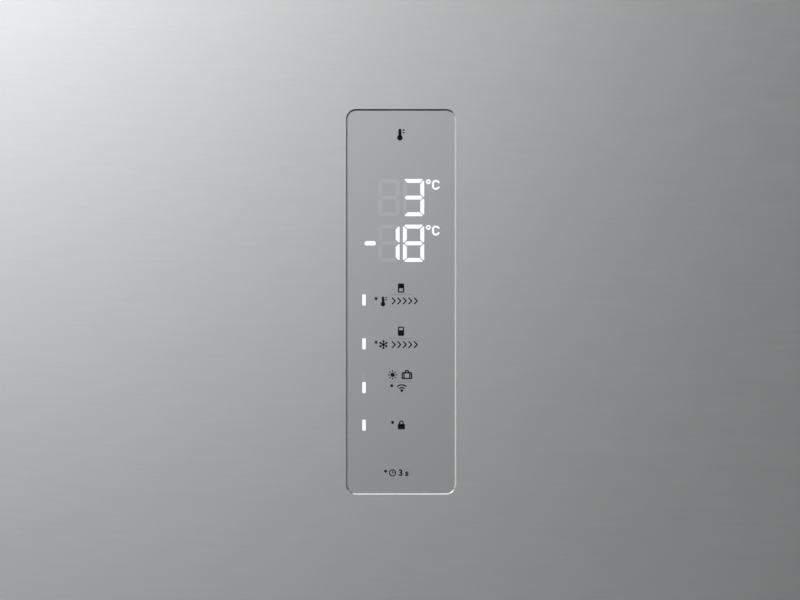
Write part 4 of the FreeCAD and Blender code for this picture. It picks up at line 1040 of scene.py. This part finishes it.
# Studio, in metres: the points that the lights are aimed at, and each light's place, aim, size and power in
# watts, with the spread in degrees where a grid narrows it
FLOOR_SIZE = 80
SKY = 0.95
ON_PANEL = (panel.x, cad_low.y, panel.z)
ON_DRAWERS = (0, cad_low.y, 0.3)
ON_REAR = (0, cad_high.y, 1.0)
LIGHTS = {
    "key": ((-1.3, -2.3, 2.9), ON_PANEL, (2.0, 2.0), 118),
    "front_above": ((0.0, -3.4, 3.8), ON_PANEL, (3.0, 1.6), 9),
    "left_grazing": ((-2.4, -0.75, 1.6), ON_PANEL, (0.5, 1.6), 4.2),
    "right_grazing": ((2.4, -0.75, 1.6), ON_PANEL, (0.5, 1.6), 0.9),
    "above": ((0.0, -0.72, 3.0), ON_PANEL, (1.4, 0.3), 3.3),
    "upper_left": ((-1.3, -0.72, 2.75), ON_PANEL, (0.3, 1.2), 2.8),
    "upper_right": ((1.3, -0.72, 2.75), ON_PANEL, (0.3, 1.2), 1.25),
    "lower_left": ((-1.9, -0.75, 0.55), ON_PANEL, (0.3, 0.9), 1.2),
    "low_front": ((0.0, -1.8, 0.25), ON_DRAWERS, (3.6, 0.4), 3.4, 60),
    "rear": ((2.2, 1.5, 2.2), ON_REAR, (0.8, 1.6), 16),
    "rear_fill": ((-1.6, 3.4, 1.6), ON_REAR, (1.6, 1.6), 10, 90),
    "front_floor_card": ((0.0, -2.65, 0.02), (0, -2.65, 1.0), (5.0, 3.3), 31),
    "left_side": ((-3.0, 0.6, 1.9), (-0.3, 0.1, 1.0), (1.2, 2.0), 4, 60),
    "rear_floor_card": ((0.0, 2.65, 0.02), (0, 2.65, 1.0), (5.0, 3.3), 30),
    "right_side": ((3.0, 0.6, 1.9), (0.3, 0.1, 1.0), (1.2, 2.0), 4, 60),
}


def lamp(name, place, aim, size, power, spread=180):
    """A soft studio light that the camera can't see, narrowed by a grid where a spread is given."""
    turn = (Vector(aim) - Vector(place)).to_track_quat("-Z", "Y").to_euler()
    bpy.ops.object.light_add(type="AREA", location=place, rotation=turn)
    light = bpy.context.object
    light.name = name
    light.data.shape = "RECTANGLE"
    light.data.size, light.data.size_y = size
    light.data.energy = power
    light.data.spread = math.radians(spread)
    light.visible_camera = False


def make_stage():
    """A wide pale floor under an even pale sky. The steel doesn't mirror them, only the lights."""
    bpy.ops.object.select_all(action="DESELECT")
    bpy.ops.mesh.primitive_plane_add(size=FLOOR_SIZE)
    floor = bpy.context.object
    floor.name = "floor"
    made, tree, shader, place = start("pale_floor", "#efefed", IOR=1.45)
    mottle = add(tree, "ShaderNodeTexNoise", {"Scale": 1 / (40 * MM)}, {"Vector": place})
    vary(tree, shader, mottle.outputs[0], ("#ededeb", "#f1f1ef"), (0.6, 0.7))
    floor.data.materials.append(made)
    floor.visible_glossy = False
    world = bpy.data.worlds.new("studio")
    bpy.context.scene.world = world
    world.use_nodes = True
    sky = world.node_tree.nodes["Background"]
    sky.inputs["Color"].default_value = linear("#e8e9ea")
    sky.inputs["Strength"].default_value = SKY
    world.cycles_visibility.glossy = False


def make_camera():
    """Straight at the touch panel, from as far as the lens needs to show the picture's width."""
    reach = PICTURE_WIDTH * LENS / SENSOR
    aim = panel + Vector((VIEW_RIGHT, 0, VIEW_UP))
    bpy.ops.object.camera_add(location=(aim.x, cad_low.y - reach, aim.z), rotation=(math.pi / 2, 0, 0))
    camera = bpy.context.object
    camera.data.lens = LENS
    camera.data.sensor_width = SENSOR
    bpy.context.scene.camera = camera


# The whole, from the panel to the studio
touch_panel()
window_edge(whole("door_skin"))
for node, edge in EDGES.items():
    soften(whole(node), edge * MM)
for name in ("door", "upper_drawer", "lower_drawer"):
    gasket(name + "_gasket")
for name in ("upper_drawer", "lower_drawer"):
    basket(name + "_basket")
    drawer_lining(name + "_inner_panel")
for name in ("roller_left", "roller_right"):
    roller(name)
door_shelves()
crisper()
rear()
for node, shape in nodes.items():
    shape.data.materials.clear()
    shape.data.materials.append(finish_of_slot[slot_of[node]])
make_stage()
for name, light in LIGHTS.items():
    lamp(name, *light)
make_camera()
bpy.context.scene.view_settings.view_transform = "Standard"
